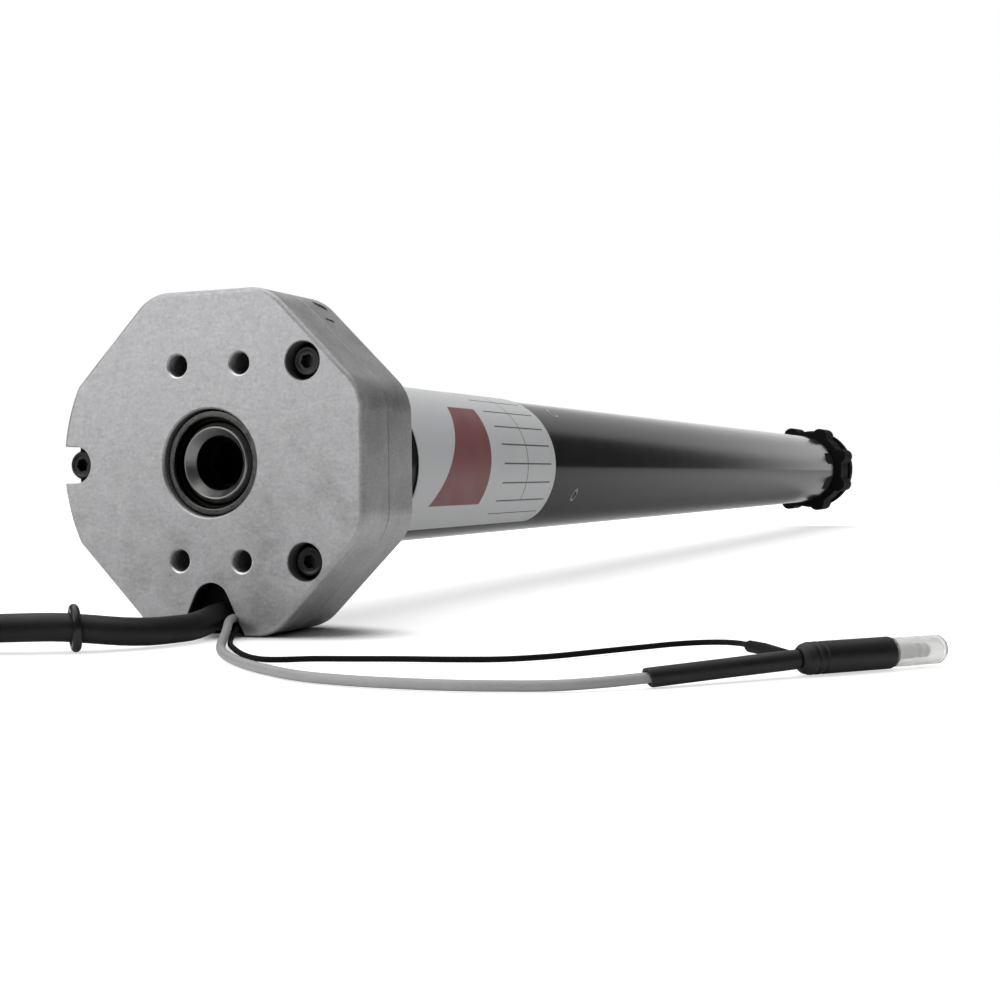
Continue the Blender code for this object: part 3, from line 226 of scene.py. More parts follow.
class TubeSizes(bpy.types.PropertyGroup):
    """Sizes of the tube, its label and the drive wheel."""

    outer: length("Tube", "Outer radius of the tube", 0.0225)
    wall: length("Tube wall", "Thickness of the tube's wall", 0.0015)
    start: length("Tube start", "From the head's face to the tube", 0.0266)
    end: length("Tube end", "From the head's face to the tube's end", 0.7160)
    slot_half: length("Slot", "Half the width of the key slots at the tube's end", 0.0038)
    slot_long: length("Slot length", "Length of the key slots", 0.0230)
    slot_turn: angle("Slot angle", "Of the first key slot", 17.5)
    label_r: length("Label", "Outer radius of the label", 0.02305)
    label_thick: length("Label thickness", "Thickness of the label", 0.00025)
    label_start: length("Label start", "From the head's face to the label", 0.0658)
    label_end: length("Label end", "From the head's face to the label's end", 0.1720)
    label_from: angle("Label lower edge", "Where the label starts round the tube", -54.0)
    label_to: angle("Label upper edge", "Where the label ends round the tube", 126.0)
    label_corner: length("Label corner", "Radius of the label's corners", 0.0055)
    wheel_start: length("Wheel start", "From the head's face to the drive wheel", 0.7290)
    lobe_end: length("Lobe end", "From the head's face to the end of the wheel's lobes", 0.7600)
    wheel_end: length("Wheel end", "From the head's face to the drive wheel's end", 0.7700)
    wheel_r: length("Wheel", "Radius of the drive wheel's body", 0.0257)
    collar_r: length("Collar", "Radius of the body past the lobes", 0.0270)
    lobe_out: length("Lobe", "How far the wheel's lobes stand out", 0.0042)
    lobe_r: length("Lobe radius", "Radius of the wheel's lobes", 0.0048)
    wheel_turn: angle("Wheel angle", "Of the valley between the first two lobes", -2.5)
    wheel_edge: length("Wheel edge", "Rounding of the wheel's edges", 0.0011)
    wheel_rim: length("Wheel rim", "Thickness of the wheel's rim", 0.0045)
    hub_r: length("Hub", "Radius of the wheel's hub", 0.0130)
    rib: length("Rib", "Thickness of the wheel's ribs", 0.0040)
    pocket: length("Pocket", "Depth of the wheel's pockets", 0.0240)
    recess: length("Recess", "Depth of the recess for the clip", 0.0060)
    square: length("Square", "Across the flats of the wheel's square bore", 0.0116)


class CordSizes(bpy.types.PropertyGroup):
    """Sizes of the cords and of the pieces on them."""

    cable: length("Cable", "Diameter of the power cable", 0.0062)
    cable_long: length("Cable length", "Whole length of the power cable", 1.90)
    ring_at: length("Ring place", "Along the power cable to the ring on it", 0.0453)
    ring_r: length("Ring", "Radius of the middle of the ring's bar", 0.0042)
    ring_bar: length("Ring bar", "Radius of the ring's bar", 0.0010)
    ring_lean: angle("Ring lean", "How far the ring stands askew on the cable", 12.0)
    ring_tilt: angle("Ring tilt", "How far the ring's top leans away from the head", 8.0)
    coil_r: length("Coil", "Middle radius of the coil", 0.0340)
    coil_low: length("Coil height", "From the floor to the coil's lowest turns", 0.0010)
    sheath_end: length("Sheath end", "How far the sheath goes on past the coil", 0.0140)
    core_long: length("Cores", "Length of the bared cores", 0.0240)
    core_r: length("Core", "Radius of each core", 0.0011)
    core_at: length("Core place", "From the cable's middle to each core", 0.0015)
    core_bare: length("Bare wire", "Length of the cores' bare ends", 0.0060)
    lead: length("Lead", "Diameter of the service lead", 0.0020)
    aerial: length("Aerial", "Diameter of the aerial wire", 0.0012)
    sleeve_r: length("Sleeve", "Radius of the sleeve on the service lead", 0.00175)
    sleeve_long: length("Sleeve length", "Length of the sleeve", 0.0310)
    sleeve_cut: length("Sleeve cut", "How far the sleeve's end is cut aslant", 0.0006)
    plug_r: length("Plug", "Radius of the plug", 0.0030)
    plug_long: length("Plug length", "Length of the plug", 0.0205)
    plug_high: length("Plug height", "From the floor to the middle of the plug", 0.0031)
    plug_groove: length("Groove", "From the plug's end to its first groove", 0.0026)
    cap_r: length("Cap", "Radius of the plug's clear cap", 0.00275)
    cap_long: length("Cap length", "Length of the plug's clear cap", 0.0124)
    cap_dome: length("Cap dome", "Height of the cap's rounded end", 0.0019)
    cap_wall: length("Cap wall", "Thickness of the cap's wall", 0.0006)
    pin_r: length("Pin", "Radius of the plug's pin in the cap", 0.00140)
    pin_long: length("Pin length", "Length of the plug's pin", 0.0085)
    tip_r: length("Aerial tip", "Radius of the aerial's tip", 0.0012)
    tip_end_r: length("Aerial tip end", "Radius at the end of the aerial's tip", 0.0007)
    tip_long: length("Aerial tip length", "Length of the aerial's tip", 0.0256)
    tip_taper: length("Aerial tip taper", "Where the aerial's tip starts to taper", 0.0100)


class Finishes(bpy.types.PropertyGroup):
    """Colours of the finishes and of the stage."""

    cast: colour("Cast aluminium", "Colour of the head's castings", (0.505, 0.505, 0.515))
    steel: colour("Bright steel", "Colour of turned steel", (0.59, 0.59, 0.58))
    black_steel: colour("Black steel", "Colour of the black screws", (0.018, 0.018, 0.019))
    paint: colour("Tube paint", "Colour of the tube's satin paint", (0.019, 0.019, 0.0195))
    paper: colour("Label", "Colour of the label's film", (0.83, 0.84, 0.85))
    maroon: colour("Label block", "Colour of the block on the label", (0.30, 0.092, 0.094))
    ink: colour("Label lines", "Colour of the label's ruled lines", (0.045, 0.042, 0.045))
    rubber: colour("Rubber", "Colour of the cable and the ring", (0.012, 0.012, 0.0125))
    sheath: colour("Grey sheath", "Colour of the service lead", (0.44, 0.44, 0.435))
    plastic: colour("Black plastic", "Colour of moulded nylon", (0.010, 0.010, 0.0105))
    clear: colour("Clear plastic", "Tint of the clear cap", (0.92, 0.92, 0.91))
    bronze: colour("Bronze", "Colour of the bushes", (0.45, 0.33, 0.18))
    copper: colour("Copper", "Colour of the windings", (0.60, 0.28, 0.14))
    lamination: colour("Laminations", "Colour of stacked sheet steel", (0.28, 0.28, 0.29))
    board: colour("Board", "Colour of the board's solder mask", (0.03, 0.16, 0.07))
    grey_plastic: colour("Grey plastic", "Colour of the brake's coil case", (0.22, 0.22, 0.23))
    white_plastic: colour("White plastic", "Colour of the capacitor's can", (0.70, 0.70, 0.69))
    floor: colour("Floor", "Colour of the floor", (0.86, 0.86, 0.86))


# Shapes


# Points round the large turnings, the counterbores and the small holes
ROUND, BORE, HOLE = 96, 64, 48


def around(radius, at):
    """Points (x, z) at radii and angles: the radius times cosine and sine."""
    return np.stack([radius * np.cos(at), radius * np.sin(at)], axis=-1)


def whole_turn(count):
    """Evenly spaced angles round a whole turn."""
    return 2 * math.pi * np.arange(count) / count


def polar(radius, degrees):
    """A point at a radius and an angle about the axis."""
    return around(radius, math.radians(degrees))


def arc(radius, start, end, count, centre=(0.0, 0.0)):
    """Points along a circle's arc, at evenly spaced angles in degrees."""
    return around(radius, np.radians(np.linspace(start, end, count))) + np.asarray(centre)


def circle(radius, count, centre=(0.0, 0.0)):
    """Points round a whole circle."""
    return arc(radius, 0, 360, count + 1, centre)[:-1]


def polygon(across, sides, count, turn=0.0):
    """Points round a regular polygon.

    The radius is half the width over the cosine of the angle from a flat's middle.
    """
    at = whole_turn(count)
    share = 2 * math.pi / sides
    return around(across / 2 / np.cos(at % share - share / 2), at + math.radians(turn))


def soften(line, trim, steps=4, closed=False):
    """A line with each corner rounded by a quadratic curve from a trim before it to a trim after it."""
    line = np.asarray(line, float)
    if closed:
        line = np.concatenate([line[-1:], line, line[:1]])
    corner = line[1:-1]

    def toward(other):
        gap = other - corner
        return corner + gap * np.minimum(trim / np.linalg.norm(gap, axis=1, keepdims=True), 0.45)

    before, after = toward(line[:-2])[:, None], toward(line[2:])[:, None]
    t = np.linspace(0, 1, steps + 1)[None, :, None]
    curve = (1 - t) ** 2 * before + 2 * t * (1 - t) * corner[:, None] + t ** 2 * after
    curve = curve.reshape(-1, 2)
    return curve if closed else np.concatenate([line[:1], curve, line[-1:]])


def inset(loop, amount):
    """A closed line moved inward: each point goes to where its two sides meet once each has moved."""
    side = np.roll(loop, -1, axis=0) - loop
    out = np.stack([side[:, 1], -side[:, 0]], axis=1) / np.linalg.norm(side, axis=1, keepdims=True)
    amount = np.broadcast_to(amount, len(loop)).astype(float)
    out_0, amount_0 = np.roll(out, 1, axis=0), np.roll(amount, 1)
    across = out_0[:, 0] * out[:, 1] - out_0[:, 1] * out[:, 0]
    bent = np.abs(across) > 0.03
    safe = np.where(bent, across, 1.0)
    meet = np.stack([
        (amount * out_0[:, 1] - amount_0 * out[:, 1]) / safe,
        (amount_0 * out[:, 0] - amount * out_0[:, 0]) / safe,
    ], axis=1)
    middle = (out_0 + out) / np.sum((out_0 + out) ** 2, axis=1, keepdims=True)
    return loop + np.where(bent[:, None], meet, -middle * (amount + amount_0)[:, None])


def stand(points, y):
    """Flat points (x, z) stood across the axis at depths y along it."""
    return np.stack([points[..., 0], np.broadcast_to(y, points.shape[:-1]), points[..., 1]], axis=-1)


def flat(row):
    """A row's points seen along the axis."""
    return row[:, ::2]


def turned(profile, count=ROUND, centre=(0.0, 0.0)):
    """A profile of (radius, y) turned about the y direction: x and z are the radius times cosine and sine."""
    profile = np.asarray(profile, float)
    return stand(around(profile[:, :1], whole_turn(count)) + np.asarray(centre), profile[:, 1:])


def rows_at(loop, *depths):
    """A closed line repeated at several depths."""
    return np.stack([stand(loop, y) for y in depths])


def edge_rows(loop, size, front, inward, steps=6):
    """A rounded edge along a closed line: a quarter circle from the face, inset by size, to the side wall."""
    size = np.broadcast_to(size, len(loop)).astype(float)
    deep = np.maximum(size, np.roll(size, 1))
    turn = np.linspace(0, math.pi / 2, steps)
    return np.stack([
        stand(inset(loop, size * (1 - math.sin(t))), front + inward * deep * (1 - math.cos(t))) for t in turn
    ])


def corners(table):
    """The four corners of each cell of a table, in order round the cell."""
    cells = np.stack([table[:-1, :-1], table[:-1, 1:], table[1:, 1:], table[1:, :-1]], axis=2)
    return cells.reshape(-1, 4, *table.shape[2:])


def patch(grid, ring=True, loop=False, uv=None):
    """A grid of points, with faces between neighbours and their UVs, closed both ways where asked."""
    rows, columns = grid.shape[:2]
    index = np.arange(rows * columns).reshape(rows, columns)
    index = index[np.ix_(np.arange(rows + loop) % rows, np.arange(columns + ring) % columns)]
    if uv is None:
        uv = (np.zeros(index.shape[1]), np.zeros(index.shape[0]))
    table = np.stack(np.meshgrid(*uv), axis=-1)
    return grid.reshape(-1, 3), corners(index), corners(table)


def deepening(grid, start, end, share=None, lightened=0):
    """A patch whose painted shade grows from one depth to another.

    Its V goes from nought to one there, and its U is the share. Its first rows can get a painted highlight
    where the share is small, and have a V of minus one.
    """
    dark = np.clip((grid[:, :, 1].max(axis=1) - start) / (end - start), 0, 1)
    dark[:lightened] = -1.0
    share = np.ones(grid.shape[1]) if share is None else share
    return patch(grid, uv=(np.append(share, share[0]), dark))


def sheet(y, *loops, dark=0.0):
    """A flat patch across the axis at depth y: the triangles with middles in an odd number of the lines."""
    line = np.concatenate(loops)
    after = np.concatenate([np.roll(loop, -1, axis=0) for loop in loops])
    ends = np.cumsum([len(loop) for loop in loops])
    follow = np.arange(1, len(line) + 1)
    follow[ends - 1] = np.concatenate([[0], ends[:-1]])
    edges = np.stack([np.arange(len(line)), follow], axis=1)
    points, _, faces, *_ = delaunay_2d_cdt(line.tolist(), edges.tolist(), [], 0, 1e-9)
    points, faces = np.array(points), np.array(faces)
    x, z = points[faces].mean(axis=1).T[:, :, None]
    rise = after[:, 1] - line[:, 1]
    meets = (line[:, 1] > z) != (after[:, 1] > z)
    cross = line[:, 0] + (z - line[:, 1]) * (after[:, 0] - line[:, 0]) / np.where(rise == 0, 1.0, rise)
    faces = faces[np.sum(meets & (cross > x), axis=1) % 2 == 1]
    # Both parts of the UV hold the sheet's share of painted shade
    return stand(points, y), faces, np.full((*faces.shape, 2), dark)


def distances(path):
    """Distance along a path to each of its points."""
    return np.concatenate(([0.0], np.cumsum(np.linalg.norm(np.diff(path, axis=0), axis=1))))


def ease(t):
    """A soft step from nought to one: three times the square, less twice the cube."""
    return t ** 2 * (3 - 2 * t)


def smooth_path(points, spacing):
    """Evenly spaced points along a smooth curve: cubic pieces whose slopes come from their neighbours."""
    points = np.array(points)
    knots = distances(points)
    slopes = np.gradient(points, knots, axis=0)
    t = np.linspace(0, 1, 24, endpoint=False)[None, :, None]
    span = np.diff(knots)[:, None, None]
    start, end = points[:-1, None], points[1:, None]
    slope, next_slope = slopes[:-1, None], slopes[1:, None]
    dense = (1 + 2 * t) * (1 - t) ** 2 * start + t * (1 - t) ** 2 * span * slope
    dense = dense + ease(t) * end + t ** 2 * (t - 1) * span * next_slope
    return even(np.concatenate([dense.reshape(-1, 3), points[-1:]]), spacing)


def even(path, spacing):
    """The same path with evenly spaced points."""
    along = distances(path)
    steps = np.linspace(0, along[-1], max(2, round(along[-1] / spacing) + 1))
    return np.stack([np.interp(steps, along, path[:, axis]) for axis in range(3)], axis=1)


def path_frames(path):
    """Directions along a path, to its side and upward, at each of its points."""
    ahead = np.gradient(path, axis=0)
    ahead /= np.linalg.norm(ahead, axis=1, keepdims=True)
    side = np.cross(ahead, (0.0, 0.0, 1.0))
    side /= np.linalg.norm(side, axis=1, keepdims=True)
    return ahead, side, np.cross(side, ahead)


def swept(path, radius, count=20):
    """A round section carried along a path, with domed ends.

    Each ring is the path's point plus the radius times the turn's cosine to the side and its sine upward.
    """
    ahead, side, up = path_frames(path)
    turn = np.linspace(0, math.pi / 2, 5)[:-1]
    size = np.concatenate([radius * np.sin(turn), np.full(len(path), radius), radius * np.sin(turn[::-1])])
    shift = np.concatenate([-np.cos(turn), np.zeros(len(path)), np.cos(turn[::-1])]) * radius / 4
    pick = np.clip(np.arange(len(size)) - len(turn), 0, len(path) - 1)
    centre = path[pick] + ahead[pick] * shift[:, None]
    at = whole_turn(count)[None, :, None]
    ring = np.cos(at) * side[pick][:, None] + np.sin(at) * up[pick][:, None]
    uv = (np.linspace(0, 2 * math.pi * radius, count + 1), distances(centre))
    return patch(centre[:, None] + size[:, None, None] * ring, uv=uv)


# Points this near each other are one, and edges bent by more than this angle are sharp
WELD = 2e-7
SHARP = math.radians(35.0)


def piece(name, patches, look, body, nodes=(), place=ON_AXIS, slot=None):
    """A mesh object of welded patches, put in place by its points, that stands for CAD nodes.

    The slot, which is its look unless another is given, is not used.
    """
    slot = slot or look
    first = np.cumsum([0] + [len(points) for points, _, _ in patches[:-1]])
    vertex = np.concatenate([(faces + at).ravel() for at, (_, faces, _) in zip(first, patches)])
    sides = np.concatenate([np.full(len(faces), faces.shape[1]) for _, faces, _ in patches])
    points = np.concatenate([points for points, _, _ in patches])
    uv = np.concatenate([corner.reshape(-1, 2) for _, _, corner in patches])
    mesh = bpy.data.meshes.new(name)
    mesh.vertices.add(len(points))
    mesh.vertices.foreach_set("co", points.astype(np.float32).ravel())
    mesh.loops.add(len(vertex))
    mesh.loops.foreach_set("vertex_index", vertex.astype(np.int32))
    mesh.polygons.add(len(sides))
    mesh.polygons.foreach_set("loop_start", (np.cumsum(sides) - sides).astype(np.int32))
    mesh.update(calc_edges=True)
    mesh.uv_layers.new(name="surface").data.foreach_set("uv", uv.astype(np.float32).ravel())
    shape = bmesh.new()
    shape.from_mesh(mesh)
    bmesh.ops.remove_doubles(shape, verts=shape.verts, dist=WELD)
    bmesh.ops.recalc_face_normals(shape, faces=shape.faces)
    shape.to_mesh(mesh)
    shape.free()
    mesh.transform(place)
    mesh.shade_smooth()
    mesh.set_sharp_from_angle(angle=SHARP)
    mesh.materials.append(finish(look))
    made = bpy.data.objects.new(name, mesh)
    bpy.context.scene.collection.objects.link(made)
    made.modifiers.new("weighted normals", "WEIGHTED_NORMAL").keep_sharp = True
    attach(made, body)
    if nodes:
        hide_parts(*nodes)
    return made


def unroll(made, round_scale, along_scale):
    """Sets a piece's UVs: the angle about the axis and the distance from the head's face, each scaled."""
    mesh = made.data
    place = np.empty(len(mesh.vertices) * 3, np.float32)
    mesh.vertices.foreach_get("co", place)
    place = place.reshape(-1, 3) - AXIS
    vertex = np.empty(len(mesh.loops), np.int32)
    mesh.loops.foreach_get("vertex_index", vertex)
    turn = np.arctan2(place[:, 2], place[:, 0])
    uv = np.stack([turn * round_scale, place[:, 1] * along_scale], axis=1)[vertex]
    mesh.uv_layers["surface"].data.foreach_set("uv", uv.astype(np.float32).ravel())


# Finishes


class Graph:
    """Adds nodes to a node tree. A value is set on a socket, and another node's socket is linked to it."""

    def __init__(self, tree):
        self.tree = tree

    def add(self, kind, inputs=(), **settings):
        node = self.tree.nodes.new(kind)
        for name, value in settings.items():
            setattr(node, name, value)
        for key, value in dict(inputs).items():
            self.set(node.inputs[key], value)
        return node

    def set(self, socket, value):
        if isinstance(value, bpy.types.NodeSocket):
            self.tree.links.new(value, socket)
        else:
            socket.default_value = value

    def math(self, operation, *values, clamp=False):
        node = self.add("ShaderNodeMath", enumerate(values), operation=operation, use_clamp=clamp)
        return node.outputs[0]

    def blend(self, factor, a, b):
        """A colour from a to b."""
        node = self.add("ShaderNodeMix", {0: factor, 6: a, 7: b}, data_type="RGBA")
        return node.outputs[2]

    def span(self, value, low, high, to_low=0.0, to_high=1.0):
        """A value carried from one range to another, and kept in it, with soft ends."""
        limits = {0: value, 1: low, 2: high, 3: to_low, 4: to_high}
        return self.add("ShaderNodeMapRange", limits, interpolation_type="SMOOTHSTEP").outputs[0]

    def noise(self, where, scale, detail=4.0, rough=0.55, distortion=0.0):
        node = self.add(
            "ShaderNodeTexNoise",
            {"Vector": where, "Scale": scale, "Detail": detail, "Roughness": rough, "Distortion": distortion},
        )
        return node.outputs["Fac"]

    def vector(self, operation, *values):
        """A sum of places, or a number where the operation gives one."""
        node = self.add("ShaderNodeVectorMath", enumerate(values), operation=operation)
        number = operation in ("LENGTH", "DISTANCE", "DOT_PRODUCT")
        return node.outputs["Value" if number else "Vector"]

    def parts(self, where):
        return self.add("ShaderNodeSeparateXYZ", {0: where}).outputs

    def object_place(self):
        return self.add("ShaderNodeTexCoord").outputs["Object"]

    def surface_place(self):
        """The piece's own UV."""
        return self.add("ShaderNodeUVMap", uv_map="surface").outputs["UV"]


def group(name, outputs, **inputs):
    """A new shader node group of numbers. Returns its graph, its input sockets and its output sockets."""
    tree = bpy.data.node_groups.new(name, "ShaderNodeTree")
    for label in outputs:
        tree.interface.new_socket(name=label, in_out="OUTPUT", socket_type="NodeSocketFloat")
    for label, value in inputs.items():
        socket = tree.interface.new_socket(name=label, in_out="INPUT", socket_type="NodeSocketFloat")
        socket.default_value = value
    graph = Graph(tree)
    return graph, graph.add("NodeGroupInput").outputs, graph.add("NodeGroupOutput").inputs


def cast_group():
    """Cast metal: cloudy mottle, fine grain, short scratches, and a few nicks that are painted black as
    shade.
    """
    graph, _, out = group("cast skin", ("Shade", "Roughness", "Height", "Nick"))
    where = graph.object_place()
    cloud = graph.noise(where, 110, 6, 0.62, 0.5)
    grain = graph.noise(where, 1500, 3, 0.6)
    drawn = graph.noise(graph.vector("MULTIPLY", where, (420, 700, 1500)), 1, 4, 0.65, 0.3)
    speck = graph.span(graph.noise(where, 800, 3, 0.7), 0.60, 0.72)
    fine = graph.noise(graph.vector("MULTIPLY", where, (900, 900, 9000)), 1, 2, 0.6, 0.6)
    across = graph.noise(graph.vector("MULTIPLY", where, (5200, 900, 700)), 1, 2, 0.6, 0.8)
    scratch = graph.math("MAXIMUM", graph.span(fine, 0.66, 0.76), graph.span(across, 0.68, 0.78))
    patchy = graph.span(graph.noise(where, 60, 2), 0.45, 0.62)
    scratch = graph.math("MULTIPLY", scratch, patchy)
    shade = 0.5
    for part, strength in ((cloud, 1.15), (grain, 0.75), (drawn, 0.55)):
        shade = graph.math("MULTIPLY_ADD", graph.math("SUBTRACT", part, 0.5), strength, shade)
    shade = graph.math("MULTIPLY_ADD", speck, -0.28, shade)
    shade = graph.math("MULTIPLY_ADD", scratch, 0.60, shade, clamp=True)
    graph.set(out["Shade"], shade)
    graph.set(out["Roughness"], graph.span(cloud, 0.3, 0.7, 0.40, 0.56))
    height = graph.math("MULTIPLY_ADD", grain, 0.4, graph.math("MULTIPLY", cloud, 0.6))
    graph.set(out["Height"], graph.math("MULTIPLY_ADD", scratch, -0.3, height))
    graph.set(out["Nick"], nicks(graph, where, grain))
    return graph.tree


def nicks(graph, where, grain):
    """One in the nicks, where the distance to a nick's line, made ragged by the grain, is under its width."""
    nick = 0.0
    for start, end, wide in NICKS:
        start, run = AXIS + start, np.subtract(end, start)
        off = graph.vector("SUBTRACT", where, start.tolist())
        along = graph.vector("DOT_PRODUCT", off, (run / np.dot(run, run)).tolist())
        along = graph.math("ADD", along, 0.0, clamp=True)
        foot = graph.vector("MULTIPLY", run.tolist(), along)
        near = graph.math("MULTIPLY_ADD", grain, wide, graph.vector("DISTANCE", off, foot))
        nick = graph.math("MAXIMUM", nick, graph.span(near, 0.7 * wide, 1.3 * wide, 1.0, 0.0))
    return nick


def turning_group():
    """Turned metal: fine rings about the motor's axis, and streaks along them."""
    graph, given, out = group("turning marks", ("Shade", "Roughness", "Height"), Rings=9000.0)
    where = graph.object_place()
    x, y, z = graph.parts(graph.vector("SUBTRACT", where, AXIS.tolist()))
    radius = graph.math("SQRT", graph.math("ADD", graph.math("MULTIPLY", x, x), graph.math("MULTIPLY", z, z)))
    line = graph.add("ShaderNodeCombineXYZ", {0: graph.math("MULTIPLY_ADD", y, 0.7, radius)}).outputs[0]
    rings = graph.noise(line, given["Rings"], 3.0, 0.5)
    smear = graph.noise(where, 420, 4, 0.6, 0.5)
    graph.set(out["Shade"], graph.math("MULTIPLY_ADD", smear, 0.6, graph.math("MULTIPLY", rings, 0.4)))
    graph.set(out["Roughness"], graph.span(smear, 0.3, 0.7, 0.16, 0.40))
    graph.set(out["Height"], rings)
    return graph.tree


def grain_group():
    """Moulded plastic, rubber or paint: fine grain and broad unevenness."""
    graph, given, out = group("fine grain", ("Shade", "Roughness", "Height"), Grain=3000.0, Broad=90.0)
    where = graph.object_place()
    fine = graph.noise(where, given["Grain"], 3, 0.6)
    broad = graph.noise(where, given["Broad"], 4, 0.6, 0.3)
    graph.set(out["Shade"], graph.math("MULTIPLY_ADD", broad, 0.6, graph.math("MULTIPLY", fine, 0.4)))
    graph.set(out["Roughness"], broad)
    graph.set(out["Height"], fine)
    return graph.tree


def layer_group():
    """Stacked sheets or wound wire: lines across the motor's axis."""
    graph, given, out = group("stacked lines", ("Shade", "Height"), Lines=2000.0)
    where = graph.object_place()
    _, y, _ = graph.parts(where)
    jitter = graph.noise(where, 300, 2, 0.5)
    phase = graph.math("MULTIPLY_ADD", jitter, 1.5, graph.math("MULTIPLY", y, given["Lines"]))
    wave = graph.math("SINE", phase)
    lines = graph.math("MULTIPLY_ADD", wave, 0.5, 0.5)
    graph.set(out["Shade"], graph.math("MULTIPLY_ADD", jitter, 0.4, graph.math("MULTIPLY", lines, 0.6)))
    graph.set(out["Height"], lines)
    return graph.tree


def within(graph, value, low, high, soft):
    """One between two limits, and nought outside them, with soft edges."""
    rise = graph.span(value, graph.math("SUBTRACT", low, soft), graph.math("ADD", low, soft))
    fall = graph.span(value, graph.math("SUBTRACT", high, soft), graph.math("ADD", high, soft), 1.0, 0.0)
    return graph.math("MULTIPLY", rise, fall)


def print_group():
    """The label's plain block and ruled lines, in the label's own UV.

    The U is degrees round the tube over 100, and the V is metres along it over 0.1.
    """
    graph, _, out = group("label print", ("Block", "Lines", "Wear"))
    where = graph.surface_place()
    turn, along, _ = graph.parts(where)
    ragged = graph.noise(graph.vector("MULTIPLY", where, (40, 40, 1)), 6, 3, 0.6)
    lean = graph.math("MULTIPLY_ADD", turn, 0.28, 0.870)
    lean_end = graph.math("MULTIPLY_ADD", turn, 0.075, 1.160)
    block = within(graph, turn, -0.314, 0.468, 0.003)
    graph.set(out["Block"], graph.math("MULTIPLY", block, within(graph, along, lean, lean_end, 0.0018)))
    # Ruled lines, one row after the other round the tube
    first, pitch = -0.293, 0.150
    row = graph.math("DIVIDE", graph.math("SUBTRACT", turn, first), pitch)
    near = graph.math("ABSOLUTE", graph.math("SUBTRACT", row, graph.math("ROUND", row)))
    rules = graph.span(near, 0.028, 0.048, 1.0, 0.0)
    rules = graph.math("MULTIPLY", rules, within(graph, turn, -0.35, 0.95, 0.004))
    rules = graph.math("MAXIMUM", rules, within(graph, turn, -0.4185, -0.4105, 0.002))
    rules = graph.math("MULTIPLY", rules, within(graph, along, 1.265, 1.678, 0.002))
    # One upright line across the rows
    post = within(graph, along, 1.463, 1.469, 0.0015)
    post = graph.math("MULTIPLY", post, within(graph, turn, first, 0.907, 0.004))
    rules = graph.math("MAXIMUM", rules, graph.math("MULTIPLY", post, 0.7))
    graph.set(out["Lines"], graph.math("MULTIPLY", rules, graph.span(ragged, 0.2, 0.5, 0.75, 1.0)))
    graph.set(out["Wear"], ragged)
    return graph.tree


def stake_group():
    """Two marks where the tube is staked to the motor: a raised ring with a pit, in the tube's own UV."""
    graph, _, out = group("stake marks", ("Ring", "Pit"))
    where = graph.surface_place()
    outer = bpy.context.scene.shutter_tube.outer
    ring, pit = 0.0, 0.0
    for degrees, along in STAKES:
        near = graph.vector("DISTANCE", where, (math.radians(degrees) * outer, along, 0.0))
        near = graph.math("MULTIPLY_ADD", graph.noise(where, 900, 2), 0.0006, near)
        ring = graph.math("MAXIMUM", ring, within(graph, near, 0.0019, 0.0029, 0.0003))
        pit = graph.math("MAXIMUM", pit, graph.span(near, 0.0013, 0.0019, 1.0, 0.0))
    graph.set(out["Ring"], ring)
    graph.set(out["Pit"], pit)
    return graph.tree


def straight(graph):
    """One for rays from the camera and through clear plastic."""
    path = graph.add("ShaderNodeLightPath").outputs
    return graph.math("MAXIMUM", path["Is Camera Ray"], path["Is Transmission Ray"])


def seen(graph):
    """One for straight rays, and a small share for those that glossy surfaces send on."""
    glossy = graph.add("ShaderNodeLightPath").outputs["Is Glossy Ray"]
    return graph.math("MAXIMUM", straight(graph), graph.math("MULTIPLY", glossy, 0.15))


def tint(base, share):
    """A colour made lighter or darker, with full opacity."""
    return (*(min(1.0, part * share) for part in base), 1.0)


def uses(tree, **inputs):
    """Gives a skin: a function that reads an output of a node group, which it adds once to each material."""
    def skin(graph, output):
        node = next((n for n in graph.tree.nodes if getattr(n, "node_tree", None) == tree), None)
        node = node or graph.add("ShaderNodeGroup", inputs, node_tree=tree)
        return node.outputs[output]
    return skin


def surface(
    name, base, low, high, metallic, skin, rough=None, bump=0.0, reach=0.0, source="Roughness", **more
):
    """A material between a darker and a lighter share of a colour, with a skin's shade, roughness and bump.

    Its roughness is the skin's own, or a number, or a range for the source, one of the skin's outputs.
    """
    made = bpy.data.materials.new(name)
    made.use_nodes = True
    made.node_tree.nodes.clear()
    graph = Graph(made.node_tree)
    shader = graph.add("ShaderNodeBsdfPrincipled", {"Metallic": metallic})
    graph.add("ShaderNodeOutputMaterial", {"Surface": shader.outputs[0]})
    shade = graph.blend(skin(graph, "Shade"), tint(base, low), tint(base, high))
    graph.set(shader.inputs["Base Color"], shade)
    if rough is None:
        rough = skin(graph, source)
    elif isinstance(rough, tuple):
        rough = graph.span(skin(graph, source), 0.3, 0.7, *rough)
    graph.set(shader.inputs["Roughness"], rough)
    if bump:
        height = skin(graph, "Height")
        normal = graph.add("ShaderNodeBump", {"Strength": bump, "Distance": reach, "Height": height})
        graph.set(shader.inputs["Normal"], normal.outputs[0])
    for key, value in more.items():
        graph.set(shader.inputs[key.replace("_", " ")], value)
    return made


